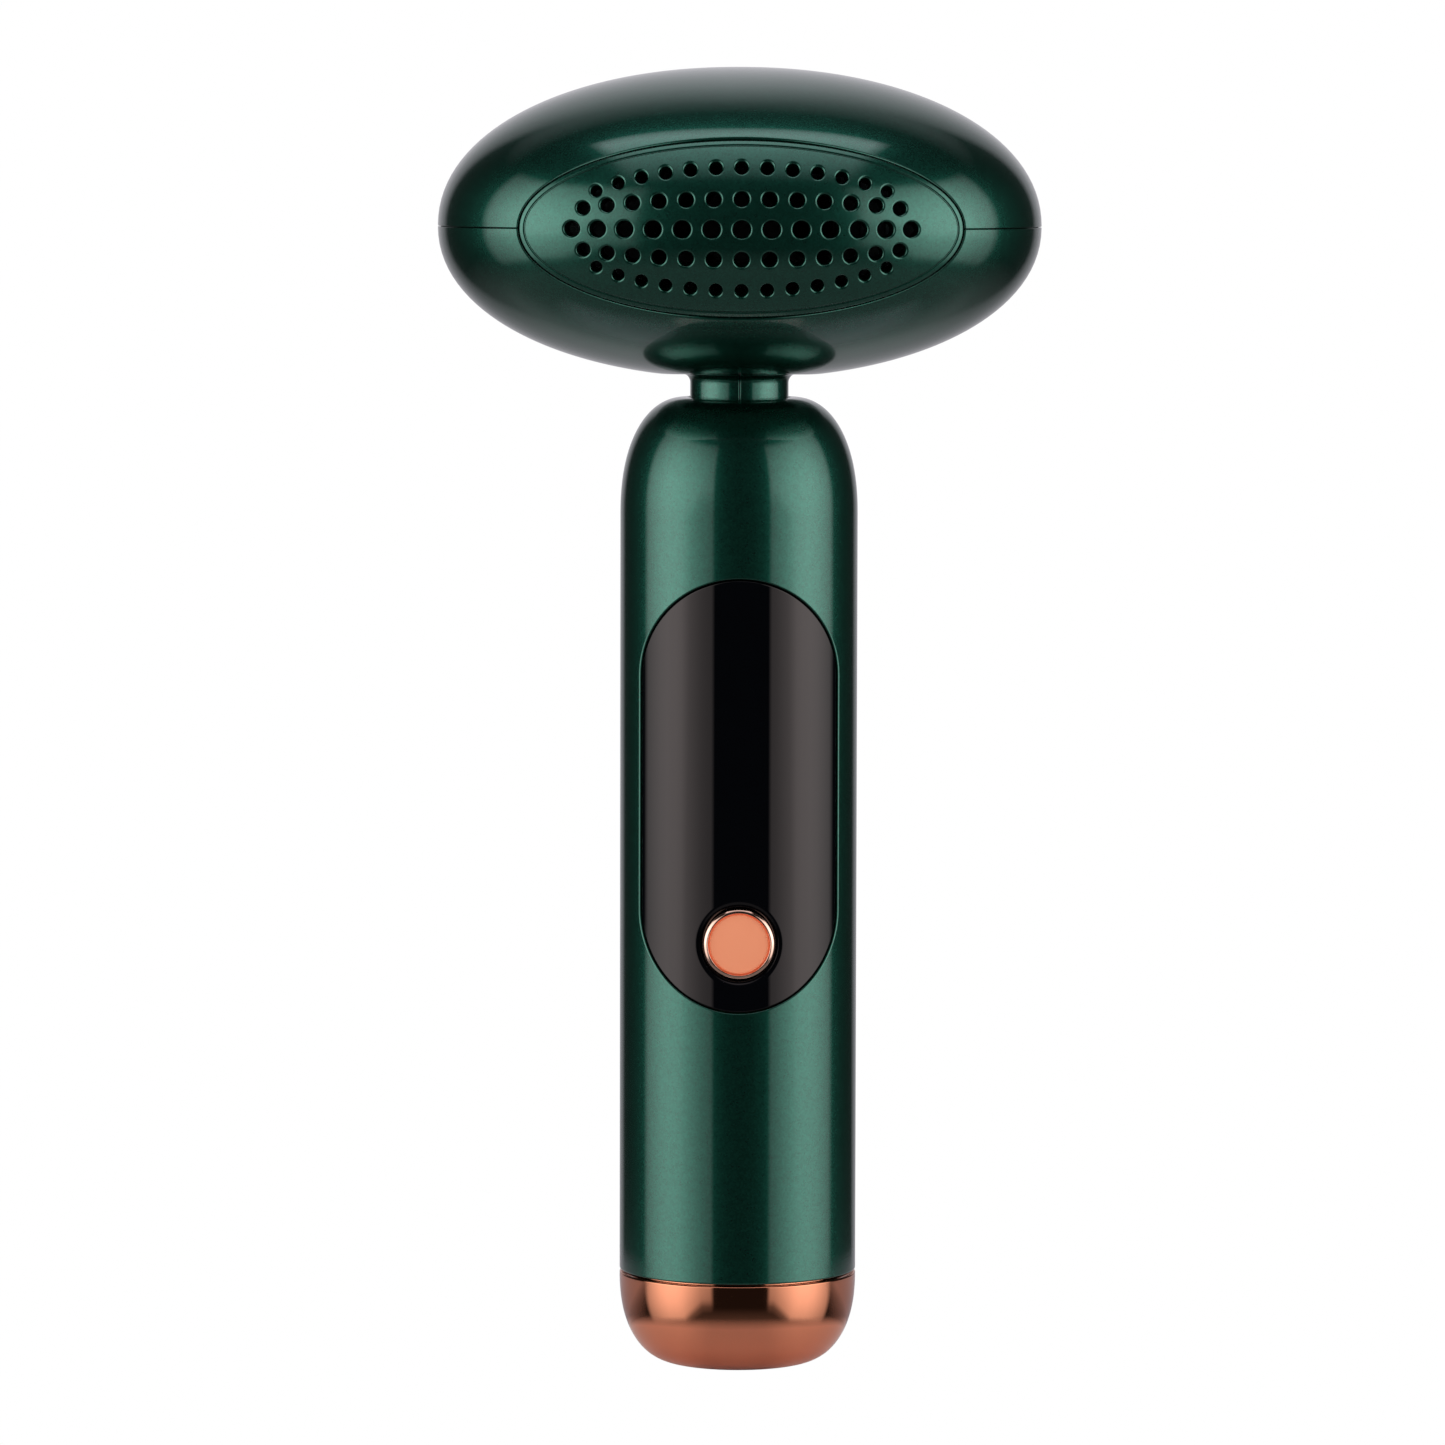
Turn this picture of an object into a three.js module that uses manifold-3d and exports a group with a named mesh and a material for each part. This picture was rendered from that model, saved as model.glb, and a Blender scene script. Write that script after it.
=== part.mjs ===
// A handheld skin scrubber: a round handle with a wide oval head across its top.
// The head presses a warm or cold plate against the skin and blows the spare heat out of its rear grille.
// Millimetres. +Z runs up the handle from the flat base, +Y points to the treatment plate,
// and -Y to the grille, the display and the button.
import * as THREE from "three";
import { mergeVertices } from "three/addons/utils/BufferGeometryUtils.js";
import Module from "manifold-3d";

const wasm = await Module();
wasm.setup();

// ---------------------------------------------------------------- driving dimensions
const HANDLE_R = 18;
const HANDLE_WALL = 2;
const CAP_SEAM_Z = 14.1;
const SHOULDER_START_Z = 129.6;
const SHOULDER_TOP_Z = 146.8;
const SHOULDER_POWER = 2.23;
const CEILING_Z = 144.4;
const CEILING_POWER = 2.6;

const BASE_FLAT_R = 8.9;
const CAP_POWER = 2.27;
const CAP_WALL = 2;
const SPIGOT_R = 15.7;
const SPIGOT_TOP_Z = 20;

const DISPLAY_Z = 88;
const DISPLAY_HEIGHT = 65.3;
const DISPLAY_HALF_WIDTH = 14.87;
const LENS_THICKNESS = 1.8;

const BUTTON_Z = 65.8;
const BUTTON_R = 4.5;
const BUTTON_RING_R = 5.3;
const BUTTON_DISH_R = 6.25;
const BUTTON_TRAVEL = 0.5;

const NECK_R = 7.45;
const NECK_LIP_R = 8.7;
const NECK_LIP_Z = 150.1;
const NECK_FLARE = 1.6;
const NECK_BORE_R = 4.6;
const NECK_SEAM_GAP = 0.12;
const SWIVEL_FLANGE_R = 10.2;
const SWIVEL_FLANGE_Z = [140.4, 142.4];
const HEAD_FLANGE_R = 9.6;
const HEAD_FLANGE_Z = [153.5, 155];
const SWIVEL_STOP_DEG = 90;
const LUG_HALF_DEG = 8;

const HEAD_Z = 173.1;
const HEAD_HALF_WIDTH = 45.6;
const HEAD_UP = 24;
const HEAD_DOWN = 22.95;
const HEAD_REAR = 38;
const HEAD_FRONT = 34;
const HEAD_WALL = 2.2;
const PLAN_POWER = 2.3;
const SIDE_POWER = 2.1;
const FACE_Y = 22;

const GRILLE_HALF = [32.1, 12.45];
const GRILLE_WALL = 1.8;
const HOLES_EACH_SIDE = 6;
const HOLE_STEP_DEG = 5.6;

const BEZEL_HALF = [37.6, 18.3];
const BEZEL_BORE = [31.9, 13.2];
const LIGHT_HALF = [31.6, 12.9];
const PLATE_HALF = [28.6, 10.2];
const PELTIER_SIDE = 15;
const PELTIER_X = 9;
const PELTIER_Y = [11.8, 15.2];

const GAP = 0.3;
const FINE_GAP = 0.15;
const WELD = 0.01;
const ROUND_SIDES = 32;
const OVAL_SIDES = 16;
const HEAD_SIDES = 32;
const HEAD_INNER_SIDES = 20;

// ---------------------------------------------------------------- materials
const finish = (color, roughness, metalness = 0) => new THREE.MeshStandardMaterial({ color, roughness, metalness });
const GREEN_LACQUER = finish("#0c4a3a", 0.3, 0.6);
const ROSE_GOLD = finish("#d98a68", 0.2, 1);
const BLACK_ACRYLIC = finish("#08080a", 0.05);
const BLACK_NYLON = finish("#1b1c1e", 0.6);
const FROSTED_ACRYLIC = finish("#eef2f2", 0.5);
const POLISHED_STEEL = finish("#c9ccd0", 0.15, 1);
const POLISHED_ALUMINIUM = finish("#d8d9da", 0.12, 1);
const ALUMINIUM = finish("#a9adb2", 0.4, 1);
const CIRCUIT_BOARD = finish("#1d5c34", 0.5);
const ALUMINA = finish("#ecebe6", 0.6);
const RUBBER = finish("#161616", 0.9);
const BATTERY_SLEEVE = finish("#2f5f9e", 0.4);
const RED_PVC = finish("#a31d1d", 0.5);
const BLACK_PVC = finish("#141414", 0.5);

// ---------------------------------------------------------------- solids
const TAU = 2 * Math.PI;
const radians = THREE.MathUtils.degToRad;

// A closed three.js geometry as a manifold-3d solid that faces out.
function solid(geometry) {
  const bare = geometry.index ? geometry.toNonIndexed() : geometry.clone();
  for (const name of Object.keys(bare.attributes)) {
    if (name !== "position") bare.deleteAttribute(name);
  }
  const merged = mergeVertices(bare, 1e-4);
  const corners = merged.index.array;
  const faces = [];
  for (let i = 0; i < corners.length; i += 3) {
    const [a, b, c] = [corners[i], corners[i + 1], corners[i + 2]];
    if (a !== b && b !== c && c !== a) faces.push([a, b, c]);
  }
  const make = (list) =>
    new wasm.Manifold(
      new wasm.Mesh({
        numProp: 3,
        vertProperties: merged.attributes.position.array,
        triVerts: new Uint32Array(list.flat()),
      }),
    );
  const made = make(faces);
  return made.volume() < 0 ? make(faces.map(([a, b, c]) => [a, c, b])) : made;
}

const join = (solids) => wasm.Manifold.union(solids);

// A named mesh from a solid.
function piece(name, shape, material) {
  const { numProp, numVert, vertProperties, triVerts } = shape.simplify(WELD).getMesh();
  const position = new Float32Array(numVert * 3);
  for (let i = 0; i < numVert; i++) position.set(vertProperties.subarray(i * numProp, i * numProp + 3), i * 3);
  const geometry = new THREE.BufferGeometry();
  geometry.setAttribute("position", new THREE.BufferAttribute(position, 3));
  geometry.setIndex(new THREE.BufferAttribute(triVerts, 1));
  geometry.computeVertexNormals();
  const mesh = new THREE.Mesh(geometry, material);
  mesh.name = name;
  return mesh;
}

function group(x, y, z, ...children) {
  const made = new THREE.Group();
  made.position.set(x, y, z);
  made.add(...children);
  return made;
}

// A box between two corners.
function block([x0, x1], [y0, y1], [z0, z1]) {
  const box = new THREE.BoxGeometry(x1 - x0, y1 - y0, z1 - z0);
  return solid(box.translate((x0 + x1) / 2, (y0 + y1) / 2, (z0 + z1) / 2));
}

// A closed profile of [radius, height] turned round an axis through the origin.
const lathe = (profile, sides) =>
  new THREE.LatheGeometry([...profile, profile[0]].map(([r, h]) => new THREE.Vector2(r, h)), sides);
const turnedZ = (profile, sides = ROUND_SIDES) => solid(lathe(profile, sides).rotateX(Math.PI / 2));
const turnedY = (profile, sides = ROUND_SIDES) => solid(lathe(profile, sides));

const tubeProfile = (inner, outer, low, high) => [
  [inner, low],
  [outer, low],
  [outer, high],
  [inner, high],
];
const ringZ = (inner, outer, low, high, sides) => turnedZ(tubeProfile(inner, outer, low, high), sides);
const ringY = (inner, outer, low, high, sides) => turnedY(tubeProfile(inner, outer, low, high), sides);
const rodZ = (radius, low, high, sides) => ringZ(0, radius, low, high, sides);
const rodY = (radius, low, high, sides) => ringY(0, radius, low, high, sides);

// A flat outline in X and Z, drawn through from y0 to y1.
function prismY(shape, y0, y1, curveSegments) {
  const drawn = new THREE.ExtrudeGeometry(shape, { depth: y1 - y0, bevelEnabled: false, curveSegments });
  return solid(drawn.rotateX(Math.PI / 2).translate(0, y1, 0));
}

function oval([halfWidth, halfHeight], y0, y1) {
  const shape = new THREE.Shape();
  shape.absellipse(0, 0, halfWidth, halfHeight, 0, TAU);
  return prismY(shape, y0, y1, OVAL_SIDES);
}

const ovalRing = (outer, inner, y0, y1) => oval(outer, y0, y1).subtract(oval(inner, y0 - 1, y1 + 1));
const grown = ([halfWidth, halfHeight], by) => [halfWidth + by, halfHeight + by];

// An upright outline with straight sides and round ends.
function capsule(halfWidth, height, y0, y1, curveSegments = 16) {
  const straight = height / 2 - halfWidth;
  const shape = new THREE.Shape();
  shape.moveTo(halfWidth, -straight);
  shape.lineTo(halfWidth, straight);
  shape.absarc(0, straight, halfWidth, 0, Math.PI, false);
  shape.lineTo(-halfWidth, -straight);
  shape.absarc(0, -straight, halfWidth, Math.PI, TAU, false);
  return prismY(shape, y0, y1, curveSegments);
}

// A round wire along a smooth curve through the points.
function wire(points, radius, steps = 24) {
  const shape = new THREE.Shape();
  shape.absarc(0, 0, radius, 0, TAU);
  const curve = new THREE.CatmullRomCurve3(points.map((p) => new THREE.Vector3(...p)));
  return solid(new THREE.ExtrudeGeometry(shape, { extrudePath: curve, steps, curveSegments: 3 }));
}

// A pan-head screw that points along +Y, with its head's underside at y = 0.
const screwY = (shank, length) =>
  rodY(2 * shank, -1.3 * shank, 0, 10)
    .add(rodY(shank, -0.1, length, 6))
    .subtract(block([-shank, shank], [-2 * shank, -0.8 * shank], [-0.25, 0.25]));

// ---------------------------------------------------------------- head skin
// The head's outer form, moved in by an inset: oval in plan, and taller above its seam than below.
function headForm(inset, sides = HEAD_SIDES) {
  const ball = new THREE.SphereGeometry(1, sides, sides / 2).rotateX(Math.PI / 2);
  const p = ball.attributes.position;
  for (let i = 0; i < p.count; i++) {
    const a = HEAD_HALF_WIDTH - inset;
    const b = (p.getY(i) < 0 ? HEAD_REAR : HEAD_FRONT) - inset;
    const c = (p.getZ(i) < 0 ? HEAD_DOWN : HEAD_UP) - inset;
    const [u, v, w] = [p.getX(i), p.getY(i), p.getZ(i)];
    const plan = Math.abs(u) ** PLAN_POWER + Math.abs(v) ** PLAN_POWER;
    const size = plan ** (SIDE_POWER / PLAN_POWER) + Math.abs(w) ** SIDE_POWER;
    const grow = size ** (-1 / SIDE_POWER);
    p.setXYZ(i, a * u * grow, b * v * grow, c * w * grow);
  }
  return solid(ball);
}

const corners = [
  [-1, 1],
  [1, 1],
  [-1, -1],
  [1, -1],
];
const FAN_SCREW = 12;
const SCREW_POST = [26.5, 9.5];
const POST_R = 2.6;
const POST_Y = [1, 11.7];
const CLAMP_SCREW_X = 12.3;

// One moulded half of the head, with its two screw posts and the ribs that tie them to the skin.
function headShell(side) {
  const skin = headForm(0).subtract(headForm(HEAD_WALL, HEAD_INNER_SIDES));
  const posts = [-1, 1].flatMap((x) => [
    rodY(POST_R, ...POST_Y, 10).translate(x * SCREW_POST[0], 0, side * SCREW_POST[1]),
    block(
      [x * SCREW_POST[0] - 0.8, x * SCREW_POST[0] + 0.8],
      POST_Y,
      side > 0 ? [SCREW_POST[1] + 1, 22] : [-22, -SCREW_POST[1] - 1],
    ).intersect(headForm(HEAD_WALL / 2, HEAD_INNER_SIDES)),
  ]);
  const pilots = [-1, 1].map((x) =>
    rodY(1.2, POST_Y[0] + 2, 20, 8).translate(x * SCREW_POST[0], 0, side * SCREW_POST[1]),
  );
  const half = block([-60, 60], [-60, FACE_Y], side > 0 ? [FINE_GAP, 40] : [-40, -FINE_GAP]);
  return join([skin, ...posts])
    .intersect(half)
    .subtract(join(pilots))
    .subtract(oval(grown(GRILLE_HALF, GAP), -60, -10));
}

function lowerShell() {
  const neckHole = rodZ(NECK_R + 0.2, -40, -10);
  const posts = [-1, 1].map((x) =>
    rodZ(2.4, HEAD_FLANGE_Z[0] - HEAD_Z - 1.5, HEAD_FLANGE_Z[1] - HEAD_Z + 0.05, 10).translate(x * CLAMP_SCREW_X, 0, 0),
  );
  const pilots = [-1, 1].map((x) => rodZ(1.2, -21, -10, 8).translate(x * CLAMP_SCREW_X, 0, 0));
  return headShell(-1).add(join(posts)).subtract(neckHole).subtract(join(pilots));
}

// ---------------------------------------------------------------- rear grille
// Five bowed rows of vents: each row is [height at the middle, half length of its bow, x of its last hole, radius].
const VENT_ROWS = [
  [9.15, 27.2, 21.4, 0.95],
  [4.5, 32.1, 23.3, 1.12],
  [0, 40, 25, 1.32],
  [-4.5, 32.1, 23.3, 1.12],
  [-9.15, 27.2, 21.4, 0.95],
];

function ventHoles() {
  const holes = [];
  for (const [height, bow, last, radius] of VENT_ROWS) {
    for (let i = -HOLES_EACH_SIDE; i <= HOLES_EACH_SIDE; i++) {
      const x = (last * Math.sin(radians(i * HOLE_STEP_DEG))) / Math.sin(radians(HOLES_EACH_SIDE * HOLE_STEP_DEG));
      const z = height * Math.sqrt(1 - (x / bow) ** 2);
      const shrink = 1 - 0.14 * (x / last) ** 2;
      holes.push(rodY(radius * shrink, -45, -15, 6).rotate([0, 15, 0]).translate(x, 0, z));
    }
  }
  return join(holes);
}

const rearGrille = () =>
  headForm(0.35)
    .subtract(headForm(0.35 + GRILLE_WALL, HEAD_INNER_SIDES))
    .intersect(oval(GRILLE_HALF, -60, -10))
    .subtract(ventHoles());

// ---------------------------------------------------------------- treatment face
function frontBezel() {
  const flange = ovalRing(BEZEL_HALF, BEZEL_BORE, FACE_Y + GAP, FACE_Y + 2.3);
  const skirt = ovalRing(grown(BEZEL_BORE, 0.8), BEZEL_BORE, 17, FACE_Y + 1);
  return flange.add(skirt);
}

const lightRing = () => ovalRing(LIGHT_HALF, grown(PLATE_HALF, GAP), 18.8, 23.6);

const LED_COUNT = 12;
const LED_SIZE = 1.4;

function ledBoard() {
  const board = ovalRing(LIGHT_HALF, grown(PLATE_HALF, GAP), 16.6, 17.8);
  const middle = grown(PLATE_HALF, 1.6);
  const lamps = [];
  for (let i = 0; i < LED_COUNT; i++) {
    const turn = ((i + 0.5) / LED_COUNT) * TAU;
    const [x, z] = [middle[0] * Math.cos(turn), middle[1] * Math.sin(turn)];
    lamps.push(
      block([x - LED_SIZE / 2, x + LED_SIZE / 2], [17.7, 18.5], [z - LED_SIZE / 2, z + LED_SIZE / 2]),
    );
  }
  return board.add(join(lamps));
}

// An oval pan with a shallow dome to lay on the skin, and a thick pad behind it over the two Peltier tiles.
function contactPlate() {
  const crown = new THREE.SphereGeometry(1, 28, 14).scale(PLATE_HALF[0] * 1.35, 3.4, PLATE_HALF[1] * 1.35);
  const dome = solid(crown.translate(0, 22.6, 0));
  const outside = oval(PLATE_HALF, 18.6, 26).intersect(dome.add(block([-40, 40], [10, 22.7], [-20, 20])));
  const hollow = oval(grown(PLATE_HALF, -1.2), 10, 22);
  const reach = PELTIER_X + PELTIER_SIDE / 2;
  const pad = block([-reach, reach], [PELTIER_Y[1] + GAP, 23], [-PELTIER_SIDE / 2, PELTIER_SIDE / 2]);
  return outside.subtract(hollow).add(pad);
}

const peltier = () => block([-PELTIER_SIDE / 2, PELTIER_SIDE / 2], PELTIER_Y, [-PELTIER_SIDE / 2, PELTIER_SIDE / 2]);

const SINK_HALF = [23.2, 13.6];
const SINK_TAB_HALF = [29, 5.5];
const SINK_SCREW_X = 26;
const FIN_COUNT = 13;
const FIN_THICKNESS = 1.1;
const FIN_SPAN_X = 22.6;
const SINK_Y = [8.4, 11.5];
const FIN_TIP_Y = -1.8;

function heatSink() {
  const base = block([-SINK_HALF[0], SINK_HALF[0]], SINK_Y, [-SINK_HALF[1], SINK_HALF[1]]);
  const tabs = block([-SINK_TAB_HALF[0], SINK_TAB_HALF[0]], SINK_Y, [-SINK_TAB_HALF[1], SINK_TAB_HALF[1]]);
  const fins = [];
  for (let i = 0; i < FIN_COUNT; i++) {
    const x = -FIN_SPAN_X + (2 * FIN_SPAN_X * i) / (FIN_COUNT - 1);
    fins.push(
      block([x - FIN_THICKNESS / 2, x + FIN_THICKNESS / 2], [FIN_TIP_Y, 8.5], [-SINK_HALF[1], SINK_HALF[1]]),
    );
  }
  const fanPosts = corners.map(([x, z]) => rodY(2.2, FIN_TIP_Y, 8.5, 8).translate(x * FAN_SCREW, 0, z * FAN_SCREW));
  const fanPilots = corners.map(([x, z]) => rodY(1.2, -5, 4, 6).translate(x * FAN_SCREW, 0, z * FAN_SCREW));
  const holes = [-1, 1].map((x) => rodY(1.3, 0, 20, 8).translate(x * SINK_SCREW_X, 0, 0));
  const loomNotch = block([-2.4, 2.4], [-5, 15], [-20, -11.4]);
  return join([base, tabs, ...fins, ...fanPosts])
    .subtract(join([...fanPilots, ...holes]))
    .subtract(loomNotch);
}

const SHAKER_AT = [32.8, 4.2];
const SHAKER_R = 3;

// The frame that ties the plate, the heat sink, the lamps and the shaker motor to both shells.
function headCarrier() {
  const plate = oval([35.5, 16], 12, 14.9);
  const windowX = PELTIER_X + PELTIER_SIDE / 2 + 0.4;
  const opening = block([-windowX, windowX], [10, 16], [-PELTIER_SIDE / 2 - 0.4, PELTIER_SIDE / 2 + 0.4]);
  const saddle = block([29.4, 36.2], [5.4, 12.2], [-4.5, 4.5]);
  const bed = rodZ(SHAKER_R + GAP, -10, 10, 16).translate(SHAKER_AT[0], SHAKER_AT[1], 0);
  const lampLedge = ovalRing([31.2, 12.3], [29.6, 11], 14.8, 16.3);
  const wireNotch = block([-2.6, 2.6], [10, 17], [-20, -10]);
  const postHoles = [-1, 1].flatMap((x) =>
    [-1, 1].map((z) => rodY(1.3, 10, 16, 8).translate(x * SCREW_POST[0], 0, z * SCREW_POST[1])),
  );
  const sinkHoles = [-1, 1].map((x) => rodY(1.3, 10, 16, 8).translate(x * SINK_SCREW_X, 0, 0));
  return plate
    .add(saddle)
    .add(lampLedge)
    .subtract(bed)
    .subtract(opening)
    .subtract(wireNotch)
    .subtract(join([...postHoles, ...sinkHoles]));
}

// ---------------------------------------------------------------- fan
const FAN_HALF = 15;
const FAN_DEPTH = 10;
const FAN_BORE_R = 13.9;
const FAN_REAR_Y = -12.3;
const BLADE_COUNT = 7;
const BLADE_TIP_R = 13.4;
const HUB_R = 6;
const SPIDER_ARMS = 3;

// In its own frame: the axis is Y, and the open front is at y = FAN_DEPTH.
function fanFrame() {
  const body = block([-FAN_HALF, FAN_HALF], [0, FAN_DEPTH], [-FAN_HALF, FAN_HALF]);
  const bore = rodY(FAN_BORE_R, -1, FAN_DEPTH + 1, 28);
  const holes = corners.map(([x, z]) => rodY(1.3, -1, FAN_DEPTH + 1, 8).translate(x * FAN_SCREW, 0, z * FAN_SCREW));
  const arms = [];
  for (let i = 0; i < SPIDER_ARMS; i++) {
    arms.push(block([0, FAN_BORE_R + 0.8], [0, 1.2], [-0.9, 0.9]).rotate([0, 30 + (360 * i) / SPIDER_ARMS, 0]));
  }
  const hub = rodY(HUB_R, 0, 1.2, 20);
  const bearing = ringY(1.1, 2.2, 0.5, 6, 12);
  const open = body.subtract(bore).subtract(join(holes));
  return join([open, ...arms, hub, bearing]).subtract(rodY(1.1, 0.8, 8, 12));
}

// A cup hub on a thin shaft, with seven pitched blades.
function fanRotor() {
  const hub = turnedY(
    [
      [0, 9.2],
      [0, 7.6],
      [HUB_R - 0.9, 7.6],
      [HUB_R - 0.9, 1.8],
      [HUB_R, 1.8],
      [HUB_R, 8.6],
      [HUB_R - 0.6, 9.2],
    ],
    20,
  );
  const shaft = rodY(0.8, 1.2, 8, 8);
  const sweep = rodY(BLADE_TIP_R, 1.8, 9.2, 28);
  const blades = [];
  for (let i = 0; i < BLADE_COUNT; i++) {
    const blade = block([HUB_R - 0.6, 18], [-0.35, 0.35], [-5.4, 5.4]).rotate([38, 0, 0]);
    blades.push(blade.translate(0, 5.5, 0).rotate([0, (360 * i) / BLADE_COUNT, 0]));
  }
  return join([hub, shaft, join(blades).intersect(sweep)]);
}

// ---------------------------------------------------------------- shaker motor
const shakerMotor = () =>
  rodZ(SHAKER_R, -5.5, 5.5, 20).subtract(rodZ(0.9, 4, 6, 12));

// A half-round weight on the motor's shaft.
function shakerWeight() {
  const halfDisc = rodZ(2.7, 6, 9.6, 20).intersect(block([-3, 3], [-3, 0.7], [5, 10]));
  return halfDisc.add(rodZ(0.5, 4.4, 9.9, 10));
}

// ---------------------------------------------------------------- neck and swivel
// The tube that the head turns on, with a flange inside each body and a trumpet lip under the head.
function neckTube() {
  const flare = [];
  for (let i = 0; i <= 4; i++) {
    const turn = (i / 4) * (Math.PI / 2);
    flare.push([
      NECK_R + (NECK_LIP_R - NECK_R) * (1 - Math.cos(turn)),
      NECK_LIP_Z - 0.2 - NECK_FLARE * (1 - Math.sin(turn)),
    ]);
  }
  return turnedZ([
    [NECK_BORE_R, SWIVEL_FLANGE_Z[0]],
    [SWIVEL_FLANGE_R, SWIVEL_FLANGE_Z[0]],
    [SWIVEL_FLANGE_R, SWIVEL_FLANGE_Z[1]],
    [NECK_R, SWIVEL_FLANGE_Z[1]],
    ...flare,
    [NECK_LIP_R, NECK_LIP_Z],
    [NECK_R - 0.1, NECK_LIP_Z],
    [NECK_R - 0.1, HEAD_FLANGE_Z[0]],
    [HEAD_FLANGE_R, HEAD_FLANGE_Z[0]],
    [HEAD_FLANGE_R, HEAD_FLANGE_Z[1]],
    [NECK_BORE_R, HEAD_FLANGE_Z[1]],
  ]);
}

// A wedge of ring between two angles from +X.
function arcBlock(inner, outer, low, high, middleDeg, halfDeg) {
  const ring = ringZ(inner, outer, low, high, 60);
  const reach = outer + 2;
  const half = block([0, reach], [0, reach * 2], [low - 1, high + 1]);
  const after = half.rotate([0, 0, middleDeg - halfDeg]);
  const before = half.rotate([0, 0, middleDeg + halfDeg - 90]);
  return ring.intersect(after).intersect(before);
}

function neckHalf(side) {
  const keep = block(side > 0 ? [NECK_SEAM_GAP / 2, 20] : [-20, -NECK_SEAM_GAP / 2], [-20, 20], [130, 160]);
  const half = neckTube().intersect(keep);
  if (side > 0) return half;
  const lug = arcBlock(SWIVEL_FLANGE_R - 0.5, SWIVEL_FLANGE_R + 1.4, ...SWIVEL_FLANGE_Z, 180, LUG_HALF_DEG);
  return half.add(lug);
}

const swivelTube = () => ringZ(2.8, NECK_BORE_R - GAP, 139.6, 155.3, 24);

function neckClamp() {
  const plate = rodZ(14.6, HEAD_FLANGE_Z[1] + GAP, HEAD_FLANGE_Z[1] + 1.9, 28);
  const waist = block([-20, 20], [-6.5, 6.5], [140, 170]);
  const holes = [-1, 1].map((x) => rodZ(1.3, 150, 160, 8).translate(x * CLAMP_SCREW_X, 0, 0));
  return plate.intersect(waist).subtract(rodZ(NECK_BORE_R, 150, 160, 24)).subtract(join(holes));
}

const frictionRing = () => solid(new THREE.TorusGeometry(9.1, 0.5, 5, 24)).translate(0, 0, 143.15);

// ---------------------------------------------------------------- handle
// A quarter of a squared oval, from its side to its top.
function shoulder(sideR, topR, low, high, power, steps) {
  const curve = [];
  for (let i = 0; i <= steps; i++) {
    const turn = (i / steps) * (Math.PI / 2);
    curve.push([
      topR + (sideR - topR) * Math.cos(turn) ** (2 / power),
      low + (high - low) * Math.sin(turn) ** (2 / power),
    ]);
  }
  return curve;
}

const PORT_Z = 26;
const PORT_HALF_WIDTH = 4.6;
const PORT_HALF_HEIGHT = 1.65;

function handleShell() {
  const neckHoleR = NECK_R + GAP;
  const outside = shoulder(HANDLE_R, neckHoleR, SHOULDER_START_Z, SHOULDER_TOP_Z, SHOULDER_POWER, 8);
  const inside = shoulder(HANDLE_R - HANDLE_WALL, neckHoleR, SHOULDER_START_Z, CEILING_Z, CEILING_POWER, 4);
  const body = turnedZ([
    [HANDLE_R - HANDLE_WALL, CAP_SEAM_Z + FINE_GAP],
    [HANDLE_R, CAP_SEAM_Z + FINE_GAP],
    ...outside,
    ...inside.reverse(),
  ]);
  const window = capsule(DISPLAY_HALF_WIDTH + FINE_GAP, DISPLAY_HEIGHT + 2 * FINE_GAP, -30, -5);
  const slot = capsule(PORT_HALF_HEIGHT + 0.35, 2 * PORT_HALF_WIDTH + 0.7, 10, 30, 8).rotate([0, 90, 0]);
  const stopAt = SWIVEL_STOP_DEG + 2 * LUG_HALF_DEG + 1;
  const stops = [-1, 1].map((side) =>
    arcBlock(
      SWIVEL_FLANGE_R + 0.5,
      14,
      SWIVEL_FLANGE_Z[0],
      CEILING_Z + 0.4,
      180 + side * stopAt,
      LUG_HALF_DEG,
    ),
  );
  const limit = turnedZ([
    [0, 100],
    [HANDLE_R - 1, 100],
    ...shoulder(HANDLE_R - 1, neckHoleR, SHOULDER_START_Z, CEILING_Z + 1.2, 2.4, 6),
    [0, CEILING_Z + 1.2],
  ]);
  return body
    .subtract(window.translate(0, 0, DISPLAY_Z))
    .subtract(slot.translate(0, 0, PORT_Z))
    .add(join(stops).intersect(limit));
}

function displayLens() {
  const skin = ringZ(HANDLE_R - LENS_THICKNESS, HANDLE_R, 40, 130);
  const outline = capsule(DISPLAY_HALF_WIDTH - FINE_GAP, DISPLAY_HEIGHT - 2 * FINE_GAP, -30, -5);
  const dish = rodY(BUTTON_DISH_R, -30, -HANDLE_R + 0.8, 28);
  const hole = rodY(BUTTON_RING_R + GAP, -30, 0, 28);
  return skin
    .intersect(outline.translate(0, 0, DISPLAY_Z))
    .subtract(dish.add(hole).translate(0, 0, BUTTON_Z));
}

function endCap() {
  const seam = CAP_SEAM_Z - FINE_GAP;
  const innerFloor = CAP_WALL + 0.2;
  const outside = shoulder(HANDLE_R, BASE_FLAT_R, 0, seam, CAP_POWER, 8)
    .map(([r, z]) => [r, seam - z])
    .reverse();
  const inside = shoulder(SPIGOT_R - 1.6, BASE_FLAT_R - 1, 0, seam - innerFloor, CAP_POWER, 4).map(([r, z]) => [
    r,
    seam - z,
  ]);
  const body = turnedZ([
    [0, 0],
    ...outside,
    [SPIGOT_R, seam],
    [SPIGOT_R, 16.1],
    [SPIGOT_R - 1, 16.1],
    [SPIGOT_R - 1, 17.7],
    [SPIGOT_R, 17.7],
    [SPIGOT_R, SPIGOT_TOP_Z],
    [0, SPIGOT_TOP_Z],
  ]);
  const hollow = turnedZ([[0, SPIGOT_TOP_Z + 1], [SPIGOT_R - 1.6, SPIGOT_TOP_Z + 1], ...inside, [0, innerFloor]], 20);
  return body.subtract(hollow);
}

const capSeal = () => solid(new THREE.TorusGeometry(SPIGOT_R - 0.35, 0.4, 5, ROUND_SIDES)).translate(0, 0, 16.9);

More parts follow.
